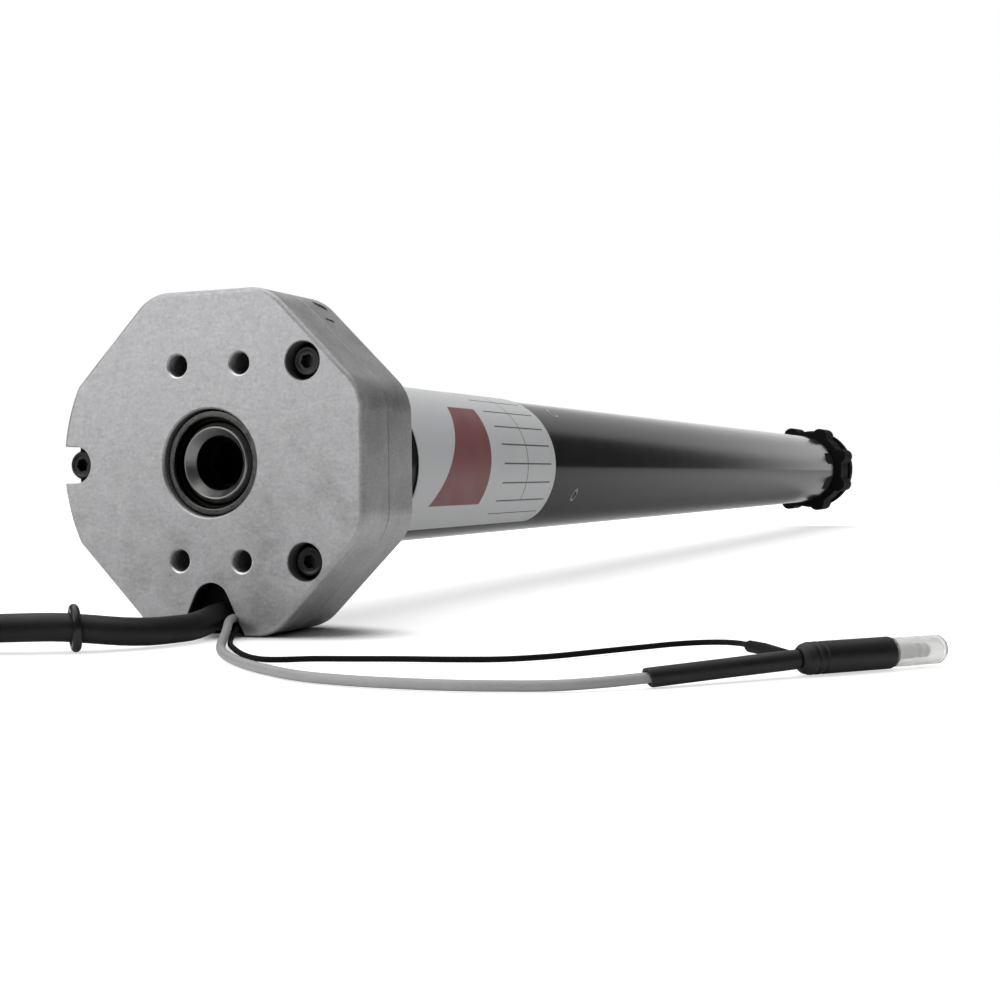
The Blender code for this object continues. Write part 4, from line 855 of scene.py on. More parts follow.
def make_finishes():
    """All finishes, by the record's slot or by a name of their own."""
    tone = bpy.context.scene.shutter_finishes
    cast, turning, layer, grain = uses(cast_group()), uses(turning_group()), layer_group(), grain_group()
    nylon, matt = uses(grain, Grain=3600.0), uses(grain, Grain=2400.0, Broad=160.0)
    film, plain = uses(grain, Grain=1500.0), uses(grain)
    sheets, wires = uses(layer, Lines=12000.0), uses(layer, Lines=9000.0)
    # Name, colour, its darkest and lightest share, metallic, skin, roughness, bump and the bump's reach
    rows = {
        "cast_aluminium": ("cast aluminium", tone.cast, 0.62, 1.30, 0.75, cast, None, 0.22, 0.00018),
        "bright_steel": ("turned steel", tone.steel, 0.40, 1.05, 1.0, turning, None, 0.12, 0.00005),
        # The socket's steel: a darker copy of the turned steel, for the socket deep in its hole
        "darker_steel": ("darker steel", tone.steel, 0.24, 0.80, 1.0, turning, (0.32, 0.46), 0.12, 0.00005),
        "dull_steel": ("spring steel", tone.steel, 0.06, 0.24, 1.0, turning, None, 0.12, 0.00005),
        "black_steel": ("black oxide", tone.black_steel, 0.6, 1.8, 0.6, nylon, (0.25, 0.42), 0.08, 0.00005),
        "bronze": ("sintered bronze", tone.bronze, 0.55, 1.2, 1.0, matt, (0.3, 0.5), 0.15, 0.0002),
        "oiled_bronze": ("oiled bronze", tone.bronze, 0.01, 0.03, 0.9, matt, (0.3, 0.5), 0.15, 0.0002),
        "copper": ("wound copper", tone.copper, 0.35, 1.25, 1.0, wires, 0.34, 0.5, 0.0003),
        "lamination": ("stacked sheets", tone.lamination, 0.5, 1.3, 0.9, sheets, 0.42, 0.4, 0.0002),
        "black_plastic": ("moulded nylon", tone.plastic, 0.7, 1.6, 0.0, nylon, (0.40, 0.55), 0.12, 0.0001),
        "matt_plastic": ("matt nylon", tone.plastic, 0.5, 1.2, 0.0, nylon, (0.66, 0.80), 0.10, 0.0001),
        "grey_plastic": ("coil case", tone.grey_plastic, 0.8, 1.2, 0.0, nylon, (0.45, 0.6), 0.1, 0.0001),
        "white_plastic": (
            "capacitor can", tone.white_plastic, 0.85, 1.1, 0.0, nylon, (0.35, 0.5), 0.08, 0.0001,
        ),
        "board_green": ("solder mask", tone.board, 0.6, 1.5, 0.0, film, (0.25, 0.45), 0.1, 0.0001),
        "black_rubber": ("black rubber", tone.rubber, 0.7, 1.7, 0.0, matt, (0.42, 0.58), 0.10, 0.0001),
        "shiny_rubber": ("shiny rubber", tone.rubber, 0.6, 1.4, 0.0, matt, (0.22, 0.34), 0.05, 0.0001),
        "grey_sheath": ("grey sheath", tone.sheath, 0.82, 1.18, 0.0, matt, (0.36, 0.5), 0.06, 0.0001),
        "clear_plastic": ("clear plastic", tone.clear, 0.86, 1.0, 0.0, matt, (0.06, 0.12)),
        "dark_paint": ("satin paint", tone.paint, 0.75, 1.35, 0.0, film, (0.13, 0.15)),
        "label_white": ("printed film", tone.paper, 0.93, 1.06, 0.0, film, (0.38, 0.5), 0.04, 0.00003),
        "floor": ("pale floor", tone.floor, 0.99, 1.01, 0.0, plain, 0.8),
    }
    for name, base in CORE_COLOURS.items():
        rows[f"core_{name}"] = (f"core {name}", base, 0.8, 1.3, 0.0, matt, (0.35, 0.5), 0.05, 0.0001)
    more = {
        "cast_aluminium": {"Specular_IOR_Level": 0.05},
        "darker_steel": {"Specular_IOR_Level": 0.05, "source": "Shade"},
        "matt_plastic": {"Specular_IOR_Level": 0.10},
        "black_rubber": {"Specular_IOR_Level": 0.4},
        "clear_plastic": {"Transmission_Weight": 0.85, "IOR": 1.35},
        "dark_paint": {"Specular_IOR_Level": 0.07},
        "floor": {"Specular_IOR_Level": 0.0},
    }
    made = {look: surface(*row, **more.get(look, {})) for look, row in rows.items()}
    # The castings get painted shade deep in holes and nicks, and a painted highlight on the lower lips of
    # holes
    paint_hole_shade(made["cast_aluminium"], cast, tint(tone.cast, 1.9))
    paint_hole_shade(made["darker_steel"])
    staked(made["dark_paint"], tone)
    printed(made["label_white"], tone)
    return made


def reopened(made):
    """A material's graph, its shader and what feeds its base colour."""
    graph = Graph(made.node_tree)
    shader = next(node for node in graph.tree.nodes if node.type == "BSDF_PRINCIPLED")
    return graph, shader, shader.inputs["Base Color"].links[0].from_socket


def paint_hole_shade(made, skin=None, lightened=None):
    """Paints shade on a finish: black deep in its piece's holes and in a skin's nicks.

    It is black where both parts of the UV are one, and gets a painted highlight where the V is below nought
    and the U is small.
    """
    graph, shader, base = reopened(made)
    share, deep, _ = graph.parts(graph.surface_place())
    # Painted shade: black deep in the holes, where shade falls
    dark = graph.math("MULTIPLY", share, graph.math("MAXIMUM", deep, 0.0))
    if skin:
        dark = graph.math("MAXIMUM", dark, skin(graph, "Nick"))
    # A painted highlight on the lower lips of holes, where light falls from above
    if lightened:
        bare_and_lit = graph.math("MULTIPLY", deep, -1.0, clamp=True)
        bare_and_lit = graph.math("MULTIPLY", bare_and_lit, graph.span(share, 0.50, 0.72, 1.0, 0.0))
        base = graph.blend(bare_and_lit, base, lightened)
    graph.set(shader.inputs["Base Color"], graph.blend(dark, base, BLACK))
    metallic = shader.inputs["Metallic"].default_value
    graph.set(shader.inputs["Metallic"], graph.math("MULTIPLY_ADD", dark, -metallic, metallic))


def staked(paint, tone):
    """Adds the stake marks to the tube's paint: lighter steel-coloured rings about pits darkened as painted
    shade.
    """
    marks = uses(stake_group())
    graph, shader, base = reopened(paint)
    ring, pit = marks(graph, "Ring"), marks(graph, "Pit")
    lightened = graph.blend(ring, base, tint(tone.steel, 0.6))
    # The pits are darkened with painted shade
    graph.set(shader.inputs["Base Color"], graph.blend(pit, lightened, tint(tone.paint, 0.5)))
    level = graph.math("SUBTRACT", ring, pit)
    raised = graph.add("ShaderNodeBump", {"Strength": 0.6, "Distance": 0.0006, "Height": level})
    graph.set(shader.inputs["Normal"], raised.outputs[0])


def printed(film, tone):
    """Adds the label's print to its film: a plain block and ruled lines over white."""
    ink = uses(print_group())
    graph, shader, base = reopened(film)
    wear = graph.span(ink(graph, "Wear"), 0.3, 0.7)
    block = graph.blend(wear, tint(tone.maroon, 0.85), tint(tone.maroon, 1.15))
    base = graph.blend(ink(graph, "Block"), base, block)
    graph.set(shader.inputs["Base Color"], graph.blend(ink(graph, "Lines"), base, tint(tone.ink, 1.0)))


FINISHES = {}


def finish(look):
    """A finish that the operators share. The first call makes them all."""
    if not FINISHES:
        FINISHES.update(make_finishes())
    return FINISHES[look]


# Head


def head_lines(head):
    """The head's outlines as (x, z), counterclockwise, and what goes with them.

    Gives the line with the arch and the notch, the line with only the arch and the plain line. Then come the
    sizes of the first one's edges, the notch's own line, and ones where the second one runs in the arch.
    """
    half, arc_r = head.across / 2, head.across / 2 + head.bulge
    up = half - head.corner
    aside = math.sqrt(2) * (head.slant / 2 - head.corner) - up
    corner_at, lean = math.hypot(up, aside), math.degrees(math.atan2(aside, up))
    arc_from = math.degrees(math.acos(head.slant / 2 / arc_r))
    notch_turn = math.degrees(math.asin(head.notch / arc_r))
    flare = math.degrees(head.arch_flare)

    def corner(k):
        middle = 45 * (k + 1) - lean if k % 2 else 45 * k + lean
        return arc(head.corner, 45 * k, 45 * (k + 1), 14, polar(corner_at, middle))

    upper = arc(arc_r, 135 + arc_from, 180 - notch_turn, 26)
    lower = arc(arc_r, 180 + notch_turn, 225 - arc_from, 26)
    between = arc(arc_r, 180 - notch_turn, 180 + notch_turn, 11)[1:-1]
    # The walls of the notch and of the arch run straight past the rounded edge
    mouth, clear = (head.bevel + 0.0004, 0.0), head.bevel + 0.0008
    notch = arc(head.notch, 90, -90, 17, (head.side_screw_x - head.gap, 0.0))
    notch = np.concatenate([[upper[-1] + mouth], notch, [lower[0] + mouth]])
    top = arc(head.arch_r, 180 - flare, flare, 17, (0.0, -half + head.arch_rise - head.arch_r))
    spread = top[-1, 0] + (top[-1, 1] + half) * math.tan(head.arch_flare)
    side = np.array([[spread, -half], [spread - clear * math.tan(head.arch_flare), -half + clear]])
    arch = np.concatenate([side * (-1, 1), top, side[::-1]])
    before, after = [corner(0), corner(1), corner(2), upper], [lower, corner(5), arch, corner(6), corner(7)]
    notched = np.concatenate([*before, notch, *after])
    arched = np.concatenate([*before, between, *after])
    plain = np.concatenate([*before, between, lower, corner(5), corner(6), corner(7)])
    size = np.full(len(notched), head.bevel)
    first = sum(map(len, before))
    size[first - 1:first + len(notch)] = head.fine_edge
    arch_first = first + len(notch) + len(lower) + len(corner(5))
    size[arch_first:arch_first + len(arch) - 1] = head.fine_edge
    floor = np.concatenate([upper[-1:], notch, lower[:1], between[::-1]])
    under = np.zeros(len(arched))
    arch_first += len(between) - len(notch)
    under[arch_first:arch_first + len(arch)] = 1.0
    return notched, arched, plain, size, floor, under


def screw_places(head):
    """The cap screws' places: upper, lower and side."""
    turn = math.degrees(head.screw_turn)
    return polar(head.screw_at, turn), polar(head.screw_at, -turn), np.array([head.side_screw_x, 0.0])


def tapped_hole(head, centre):
    """A tapped hole: its crests' radius plus a triangle wave of depth in pitches less angle in turns."""
    entry, run_in, dark = 0.00040, 0.0003, 0.0035
    y = np.linspace(entry, head.mount_deep - 0.0008, 90)[:, None]
    at = whole_turn(HOLE)
    wave = np.abs(2 * ((y / head.thread - at / (2 * math.pi)) % 1.0) - 1)
    fade = np.clip((y - entry) / run_in, 0, 1)
    wall = stand(around(head.mount_r + head.thread_deep * wave * fade, at) + centre, y)
    mouth = [(head.mount_mouth, 0.0), (head.mount_mouth - 0.0001, 0.00006), (head.mount_r, 0.00036)]
    foot = [(head.mount_r, head.mount_deep - 0.0003), (0.0, head.mount_deep + 0.0006)]
    grid = np.concatenate([turned(mouth, HOLE, centre), wall, turned(foot, HOLE, centre)])
    # Painted shade grows with depth and is heaviest on the hole's upper left side, and the mouth's lower lip
    # gets a painted highlight
    return deepening(grid, entry, dark, 0.62 + 0.30 * np.sin(at - 0.35), lightened=len(mouth))


class SHUTTER_OT_head(bpy.types.Operator):
    """Build the cast cover and housing of the head"""

    bl_idname = "shutter.head"
    bl_label = "Head Castings"

    def execute(self, context):
        head = context.scene.shutter_head
        notched, arched, plain, size, floor, under = head_lines(head)
        self.cover(head, notched, arched, size, floor, under)
        self.housing(head, context.scene.shutter_tube, plain)
        return {"FINISHED"}

    def cover(self, head, notched, arched, size, floor, under):
        """The cover: its outer wall, its two faces, the notch's floor and all its holes."""
        fine, seat, back, hole = head.fine_edge, head.seat, head.cover, head.screw_hole
        *deep_places, side_place = screw_places(head)
        sides = ((-1, -1), (-1, 1), (1, -1), (1, 1))
        mounts = np.array(sides) * (head.mount_x / 2, head.mount_z / 2)
        crank = soften([
            (head.crank_r + 2 * fine, 0.0), (head.crank_r, 2 * fine), (head.crank_r, head.plate_y),
            (head.plate_r, head.plate_y), (head.plate_r, back),
        ], 0.0002)
        bore = soften([
            (head.counterbore + fine, 0.0), (head.counterbore, fine), (head.counterbore, seat),
            (hole, seat), (hole, back),
        ], 0.0001)
        front = edge_rows(notched, size, 0.0, 1.0)
        rear = edge_rows(arched, fine, back, -1.0, 4)[::-1]
        opened = (size == fine).astype(float)
        # The crank hole's painted shade is heavier on its upper side, and its lower lip gets a painted
        # highlight
        crank_share = 0.74 + 0.24 * np.sin(whole_turn(ROUND))
        mouths = [circle(head.mount_mouth, HOLE, at) for at in mounts]
        mouths += [circle(bore[0, 0], BORE, at) for at in deep_places]
        foot_holes = [circle(hole, BORE, at) for at in deep_places]
        side_mouth = circle(hole, HOLE, side_place)
        # Painted shade darkens the walls of the notch and the arch, the notch's floor, and the holes inward
        # from their mouths
        patches = [
            deepening(np.concatenate([front, rows_at(notched, 0.0014, 0.0030, seat)]), fine, 0.0014, opened),
            deepening(np.concatenate([rows_at(arched, seat), rear]), 0.0, seat, under),
            sheet(0.0, flat(front[0]), circle(crank[0, 0], ROUND), *mouths),
            sheet(seat, floor, side_mouth, dark=1.0),
            sheet(back, flat(rear[-1]), circle(head.plate_r, ROUND), *foot_holes, side_mouth),
            deepening(turned(crank), 0.0, 0.0008, crank_share, lightened=1),
            *(deepening(turned(bore, BORE, at), 0.0, 2 * fine) for at in deep_places),
            deepening(turned([(hole, seat), (hole, back)], HOLE, side_place), 0.0, seat),
            *(tapped_hole(head, at) for at in mounts),
        ]
        piece("cover_casting", patches, "cast_aluminium", "head", ["head_cover"])

    def housing(self, head, tube, plain):
        """The housing: its outer wall, its two faces, the gear chamber and the screws' holes."""
        fine, hole = head.fine_edge, head.screw_hole
        start = head.cover + head.gap
        end = start + head.housing
        inner_r = tube.outer - tube.wall
        front = edge_rows(plain, fine, start, 1.0, 4)
        rear = edge_rows(plain, head.bevel, end, -1.0)[::-1]
        chamber = soften([
            (head.chamber, start), (head.chamber, head.chamber_end), (inner_r, head.chamber_end),
            (inner_r, end - fine), (inner_r + fine, end),
        ], 0.0002)
        hole_end = head.seat + head.shank + 0.0006
        thread = [(hole, start), (hole, hole_end), (0, hole_end)]
        places = screw_places(head)
        mouths = [circle(hole, HOLE, at) for at in places]
        patches = [
            patch(np.concatenate([front, rear])),
            patch(turned(chamber)),
            sheet(start, flat(front[0]), circle(head.chamber, ROUND), *mouths),
            sheet(end, flat(rear[-1]), circle(inner_r + fine, ROUND)),
            *(patch(turned(thread, HOLE, at)) for at in places),
        ]
        piece("housing_casting", patches, "cast_aluminium", "head", ["head_housing"])


class SHUTTER_OT_screws(bpy.types.Operator):
    """Build the three cap screws of the head's cover"""

    bl_idname = "shutter.screws"
    bl_label = "Cap Screws"

    def execute(self, context):
        head = context.scene.shutter_head
        under = head.seat - head.gap
        top, end, step = under - head.cap_high, under + head.shank + head.gap, 0.0003
        floor, rim_r = top + head.key_deep, head.cap_r - 3 * step
        outer = soften([
            (rim_r, top), (head.cap_r - step, top), (head.cap_r, top + 2 * step), (head.cap_r, under),
            (head.screw_r, under), (head.screw_r, end - step), (head.screw_r - step, end),
        ], 0.00015)
        outer = np.concatenate([outer, [(0.0, end)]])
        dish_r, dish_y = head.key * 0.66, top + step / 2
        dish = soften([(rim_r, top), (rim_r - step, dish_y), (dish_r, dish_y)], 0.0001)
        hexagon = polygon(head.key, 6, HOLE, 12.0)
        for name, at in zip(("upper", "lower", "side"), screw_places(head)):
            patches = [
                patch(turned(outer, HOLE, at)),
                patch(turned(dish, HOLE, at)),
                sheet(dish_y, circle(dish_r, HOLE, at), hexagon + at),
                patch(rows_at(hexagon + at, dish_y, floor)),
                sheet(floor, hexagon + at),
            ]
            piece(f"cap_screw_{name}", patches, "black_steel", "head", [f"cover_screw_{name}"])
        return {"FINISHED"}


class SHUTTER_OT_crank(bpy.types.Operator):
    """Build the crank socket and its retaining ring"""

    bl_idname = "shutter.crank"
    bl_label = "Crank Socket"

    def execute(self, context):
        crank = context.scene.shutter_crank
        self.socket(crank)
        end = crank.ring_sink + crank.ring_thick
        section = soften([
            (crank.ring_r, crank.ring_sink), (crank.ring_out, crank.ring_sink), (crank.ring_out, end),
            (crank.ring_r, end),
        ], 0.0003, closed=True)
        ring = [patch(turned(section), loop=True)]
        piece("snap_ring", ring, "dull_steel", "head", ["retaining_ring"], slot="bright_steel")
        return {"FINISHED"}

    def socket(self, crank):
        """The socket: turned, with painted shade in its bore and on its outer slope, with the hexagon and the
        pinion.
        """
        front, shoulder = crank.sink, crank.shoulder
        mouth = front + crank.bevel
        floor = mouth + crank.bore
        foot = floor + crank.hex_deep
        hexagon = polygon(crank.hex_across, 6, ROUND)
        profile = soften([
            (crank.mouth_r, floor), (crank.mouth_r, mouth), (crank.rim_r - crank.edge, front),
            (crank.rim_r, front + crank.edge / 2), (crank.socket_r, front + crank.rim_fall),
            (crank.socket_r, shoulder),
        ], 0.0003)
        # Painted shade on the bore's wall, and on the slope behind the rim, in the gap to the crank hole
        dark = (profile[:, 1] >= mouth - 0.0002) & (profile[:, 0] <= crank.mouth_r + 0.0001)
        dark |= profile[:, 0] >= crank.rim_r + crank.edge
        teeth, tooth = 15, np.array([-0.36, -0.19, 0.19, 0.36])
        turn = 90 + (np.arange(teeth)[:, None] + tooth).ravel() * 360 / teeth
        radius = np.tile([crank.pinion_root, crank.pinion_tip, crank.pinion_tip, crank.pinion_root], teeth)
        gear = around(radius, np.radians(turn))
        inside = shoulder - 0.0005
        full = np.ones(ROUND + 1)
        patches = [
            patch(turned(profile), uv=(full, dark.astype(float))),
            sheet(floor, circle(crank.mouth_r, ROUND), hexagon, dark=1.0),
            patch(rows_at(hexagon, floor, foot), uv=(full, np.ones(2))),
            sheet(foot, hexagon, dark=1.0),
            sheet(shoulder, circle(crank.socket_r, ROUND), hexagon),
            patch(rows_at(gear, inside, crank.pinion_end)),
            sheet(inside, gear, hexagon),
            sheet(crank.pinion_end, gear),
        ]
        piece("socket_turning", patches, "darker_steel", "crank", ["crank_socket"], slot="bright_steel")


# Tube


class SHUTTER_OT_tube(bpy.types.Operator):
    """Build the tube with its key slots, as radius and depth over the angle and a line round the wall"""

    bl_idname = "shutter.tube"
    bl_label = "Motor Tube"

    def execute(self, context):
        tube = context.scene.shutter_tube
        outer, inner, edge = tube.outer, tube.outer - tube.wall, 0.00015
        low = tube.end - tube.slot_long
        bend, base = low + tube.slot_half, low - 0.004
        half, step, slots = tube.slot_half / outer, math.pi / 4, 8
        slot, land = np.linspace(-half, half, 13), np.linspace(half, step - half, 13)
        slot_end = bend - np.sqrt(np.maximum(tube.slot_half ** 2 - (slot * outer) ** 2, 0.0))
        first = tube.slot_turn + np.arange(slots)[:, None] * step
        turn = (np.concatenate([slot, land]) + first).ravel()
        last = np.tile(np.concatenate([slot_end, np.full(len(land), tube.end)]), slots)
        knee = np.minimum(last, bend) - edge
        rows = [
            (inner, tube.start), (outer - edge, tube.start),
            *((outer, y) for y in np.linspace(tube.start + edge, base, 60)),
            (outer, knee), (outer, last - edge), (outer - edge, last),
            (inner, last), (inner, last - edge), (inner, knee), (inner, base),
        ]
        grid = np.stack([stand(around(radius, turn), y) for radius, y in rows])
        made = piece("tube_shell", [patch(grid, loop=True)], "dark_paint", "tube", ["motor_tube"])
        unroll(made, outer, 1.0)
        return {"FINISHED"}


class SHUTTER_OT_label(bpy.types.Operator):
    """Build the rating label: a sheet bent round the tube, with round corners"""

    bl_idname = "shutter.label"
    bl_label = "Rating Label"

    def execute(self, context):
        tube = context.scene.shutter_tube
        corner, count = tube.label_corner, 73
        ends = corner * (1 - np.cos(np.linspace(0, math.pi / 2, 9)))
        middle = np.linspace(tube.label_start + corner, tube.label_end - corner, 24)[1:-1]
        y = np.concatenate([tube.label_start + ends, middle, tube.label_end - ends[::-1]])
        y = np.concatenate([y[:1], y, y[-1:]])
        near = np.clip(corner - np.minimum(y - tube.label_start, tube.label_end - y), 0, corner)
        cut = ((corner - np.sqrt(np.maximum(corner ** 2 - near ** 2, 0.0))) / tube.label_r)[:, None]
        width = tube.label_to - tube.label_from - 2 * cut
        turn = tube.label_from + cut + width * np.linspace(0, 1, count)
        turn = np.concatenate([turn, turn[:, ::-1]], axis=1)
        sides = np.tile([tube.label_r, tube.label_r - tube.label_thick], (len(y), 1))
        sides[[0, -1]] = tube.label_r - tube.label_thick / 2
        grid = stand(around(np.repeat(sides, count, axis=1), turn), y[:, None])
        made = piece("printed_label", [patch(grid)], "label_white", "tube", ["rating_label"])
        unroll(made, math.degrees(1.0) / 100, 10.0)
        return {"FINISHED"}


class SHUTTER_OT_wheel(bpy.types.Operator):
    """Build the lobed drive wheel with its ribs"""

    bl_idname = "shutter.wheel"
    bl_label = "Drive Wheel"

    def execute(self, context):
        tube = context.scene.shutter_tube
        outline = self.outline(tube)
        start, end, edge, count = tube.wheel_start, tube.wheel_end, tube.wheel_edge, 120
        front = edge_rows(outline, edge, start, 1.0)
        rear = edge_rows(outline, edge, tube.lobe_end, -1.0)[::-1]
        collar = soften([
            (tube.collar_r, tube.lobe_end), (tube.collar_r, end - edge), (tube.collar_r - edge, end),
        ], 0.0008)
        square = polygon(tube.square, 4, HOLE, math.degrees(tube.wheel_turn))
        floor, bottom = end - tube.recess, end - tube.pocket
        hollow = tube.hub_r - tube.rib
        recess = soften([(hollow + 0.0003, end), (hollow, end - 0.0003), (hollow, floor)], 0.0002)
        pockets = self.pockets(tube)
        patches = [
            patch(np.concatenate([front, rear])),
            sheet(start, flat(front[0]), square),
            sheet(tube.lobe_end, flat(rear[-1]), circle(tube.collar_r, count)),
            patch(turned(collar, count)),
            sheet(end, circle(collar[-1, 0], count), circle(recess[0, 0], ROUND), *pockets),
            patch(turned(recess)),
            sheet(floor, circle(hollow, ROUND), square),
            patch(rows_at(square, start, floor)),
            *(patch(rows_at(pocket, bottom, end)) for pocket in pockets),
            *(sheet(bottom, pocket) for pocket in pockets),
        ]
        piece("lobed_wheel", patches, "matt_plastic", "output", ["drive_wheel"], slot="black_plastic")
        return {"FINISHED"}

    def outline(self, tube):
        """The wheel's line: at each angle the farther of the body's and the lobes' circles, then smoothed."""
        at = np.radians(np.arange(360))
        middle = tube.wheel_r + tube.lobe_out - tube.lobe_r
        off = (at - tube.wheel_turn) % (math.pi / 4) - math.pi / 8
        room = tube.lobe_r ** 2 - (middle * np.sin(off)) ** 2
        lobe = np.where(room > 0, middle * np.cos(off) + np.sqrt(np.maximum(room, 0)), 0)
        radius = np.maximum(tube.wheel_r, lobe)
        near = np.arange(-6, 7)
        weight = np.exp(-(near / 1.4) ** 2)
        radius = sum(w * np.roll(radius, n) for n, w in zip(near, weight / weight.sum()))
        return around(radius, at)

    def pockets(self, tube):
        """The lines of the four pockets between the ribs: an arc under the rim and an arc about the hub."""
        rim_r = tube.wheel_r - tube.wheel_rim
        outer, inner = (45 - math.degrees(tube.rib / 2 / radius) for radius in (rim_r, tube.hub_r))
        middles = math.degrees(tube.wheel_turn) + 45 + 90 * np.arange(4)
        lines = []
        for at in middles:
            sector = [arc(rim_r, at - outer, at + outer, 21), arc(tube.hub_r, at + inner, at - inner, 15)]
            lines.append(soften(np.concatenate(sector), 0.0008, 3, closed=True))
        return lines


# Cords


UPWARD = np.array([0.0, 0.0, 1.0])


def coil_path(cord):
    """The cable's coil: turns side by side and on one another.

    Each turn keeps its place, and moves to the next one's by a soft step in a short stretch.
    """
    step = cord.cable
    out, mid, into = cord.coil_r + step, cord.coil_r, cord.coil_r - step
    entry = cord.coil_r + 2 * step + 0.0003
    cells = np.array([
        (entry, 0), (out, 0), (mid, 0), (into, 0), (into, 1), (into, 2),
        (mid, 2), (mid, 1), (out, 1), (out, 2), (entry, 2),
    ], float)
    kept = 360 - COIL_SHIFT
    turn = np.arange(0, 9 * kept + COIL_SHIFT, 4.0)
    place = turn / kept
    inside = np.clip((place - np.floor(place)) * kept / COIL_SHIFT, 0, 1)
    share = np.minimum(np.floor(place) + ease(inside), len(cells) - 1)
    radius, layer = (np.interp(share, np.arange(len(cells)), column) for column in cells.T)
    at = np.radians(COIL_ENTRY + turn)
    last = math.degrees(at[-1])
    fall = np.linspace(0, 1, 16)[1:]
    at = np.concatenate([at, np.radians(last + (COIL_TAIL - last) % 360 * fall)])
    radius = np.concatenate([radius, np.full(len(fall), entry)])
    layer = np.concatenate([layer, layer[-1] * (1 - ease(fall))])
    height = cord.coil_low + step / 2 + layer * step
    return np.stack([radius * np.cos(at), radius * np.sin(at), height], axis=1) + (*COIL_PLACE, 0)


class SHUTTER_OT_power_cable(bpy.types.Operator):
    """Build the power cable with its coil, the ring on it and its bared cores"""

    bl_idname = "shutter.power_cable"
    bl_label = "Power Cable"

    def execute(self, context):
        cord = context.scene.shutter_cords
        route, coil = smooth_path(CABLE_ROUTE, 0.002), coil_path(cord)
        tail_turn = math.radians(COIL_TAIL)
        heading = np.array([-math.sin(tail_turn), math.cos(tail_turn), 0.0])
        tail = coil[-1] + heading * np.linspace(0, cord.sheath_end, 5)[1:, None]
        path = even(np.concatenate([route, coil[2:], tail]), 0.003)
        shape = [swept(path, cord.cable / 2, 24)]
        cable = piece("mains_cable", shape, "black_rubber", "head", ["power_cable", "cable_coil"], ON_FOOT)
        shape = [self.ring(cord, route)]
        ring = piece("rubber_ring", shape, "shiny_rubber", "head", ["cable_o_ring"], ON_FOOT, "black_rubber")
        cores = self.cores(cord, path[-1], heading)
        return {"FINISHED"}

    def ring(self, cord, route):
        """The ring: circles of the bar's radius about a circle that stands askew on the cable."""
        place = np.searchsorted(distances(route), cord.ring_at)
        ahead, side, up = (direction[place] for direction in path_frames(route))
        across = side * math.cos(cord.ring_lean) + ahead * math.sin(cord.ring_lean)
        up = up * math.cos(cord.ring_tilt) + ahead * math.sin(cord.ring_tilt)
        up -= across * np.dot(up, across)
        up /= np.linalg.norm(up)
        turn, bar = whole_turn(64)[:, None, None], whole_turn(24)[None, :, None]
        spoke = np.cos(turn) * across + np.sin(turn) * up
        torus = route[place] + (cord.ring_r + cord.ring_bar * np.cos(bar)) * spoke
        return patch(torus + cord.ring_bar * np.sin(bar) * np.cross(up, across), loop=True)

    def cores(self, cord, start, heading):
        """Three bared cores, each with a copper end, that spread a little as they leave the sheath."""
        side = np.cross(heading, UPWARD)
        along = np.linspace(-0.002, cord.core_long, 14)
        bare_and_lit = cord.core_long - cord.core_bare
        sheathed, wired = along < bare_and_lit + 0.001, along > bare_and_lit - 0.003
        made = []
        for k, name in enumerate(CORE_COLOURS):
            turn = math.radians(90 + 120 * k)
            out = math.cos(turn) * side + math.sin(turn) * UPWARD
            spread = cord.core_at + 0.0004 * (np.maximum(along, 0) / cord.core_long) ** 2 * (k + 1)
            path = start + heading * along[:, None] + out * spread[:, None]
            look, shape = f"core_{name}", [swept(path[sheathed], cord.core_r, 14)]
            made.append(piece(look, shape, look, "head", ["stripped_end"], ON_FOOT, "black_rubber"))
            shape = [swept(path[wired], cord.core_r * 0.7, 12)]
            made.append(piece(f"core_{name}_wire", shape, "copper", "head", (), ON_FOOT))
        return made


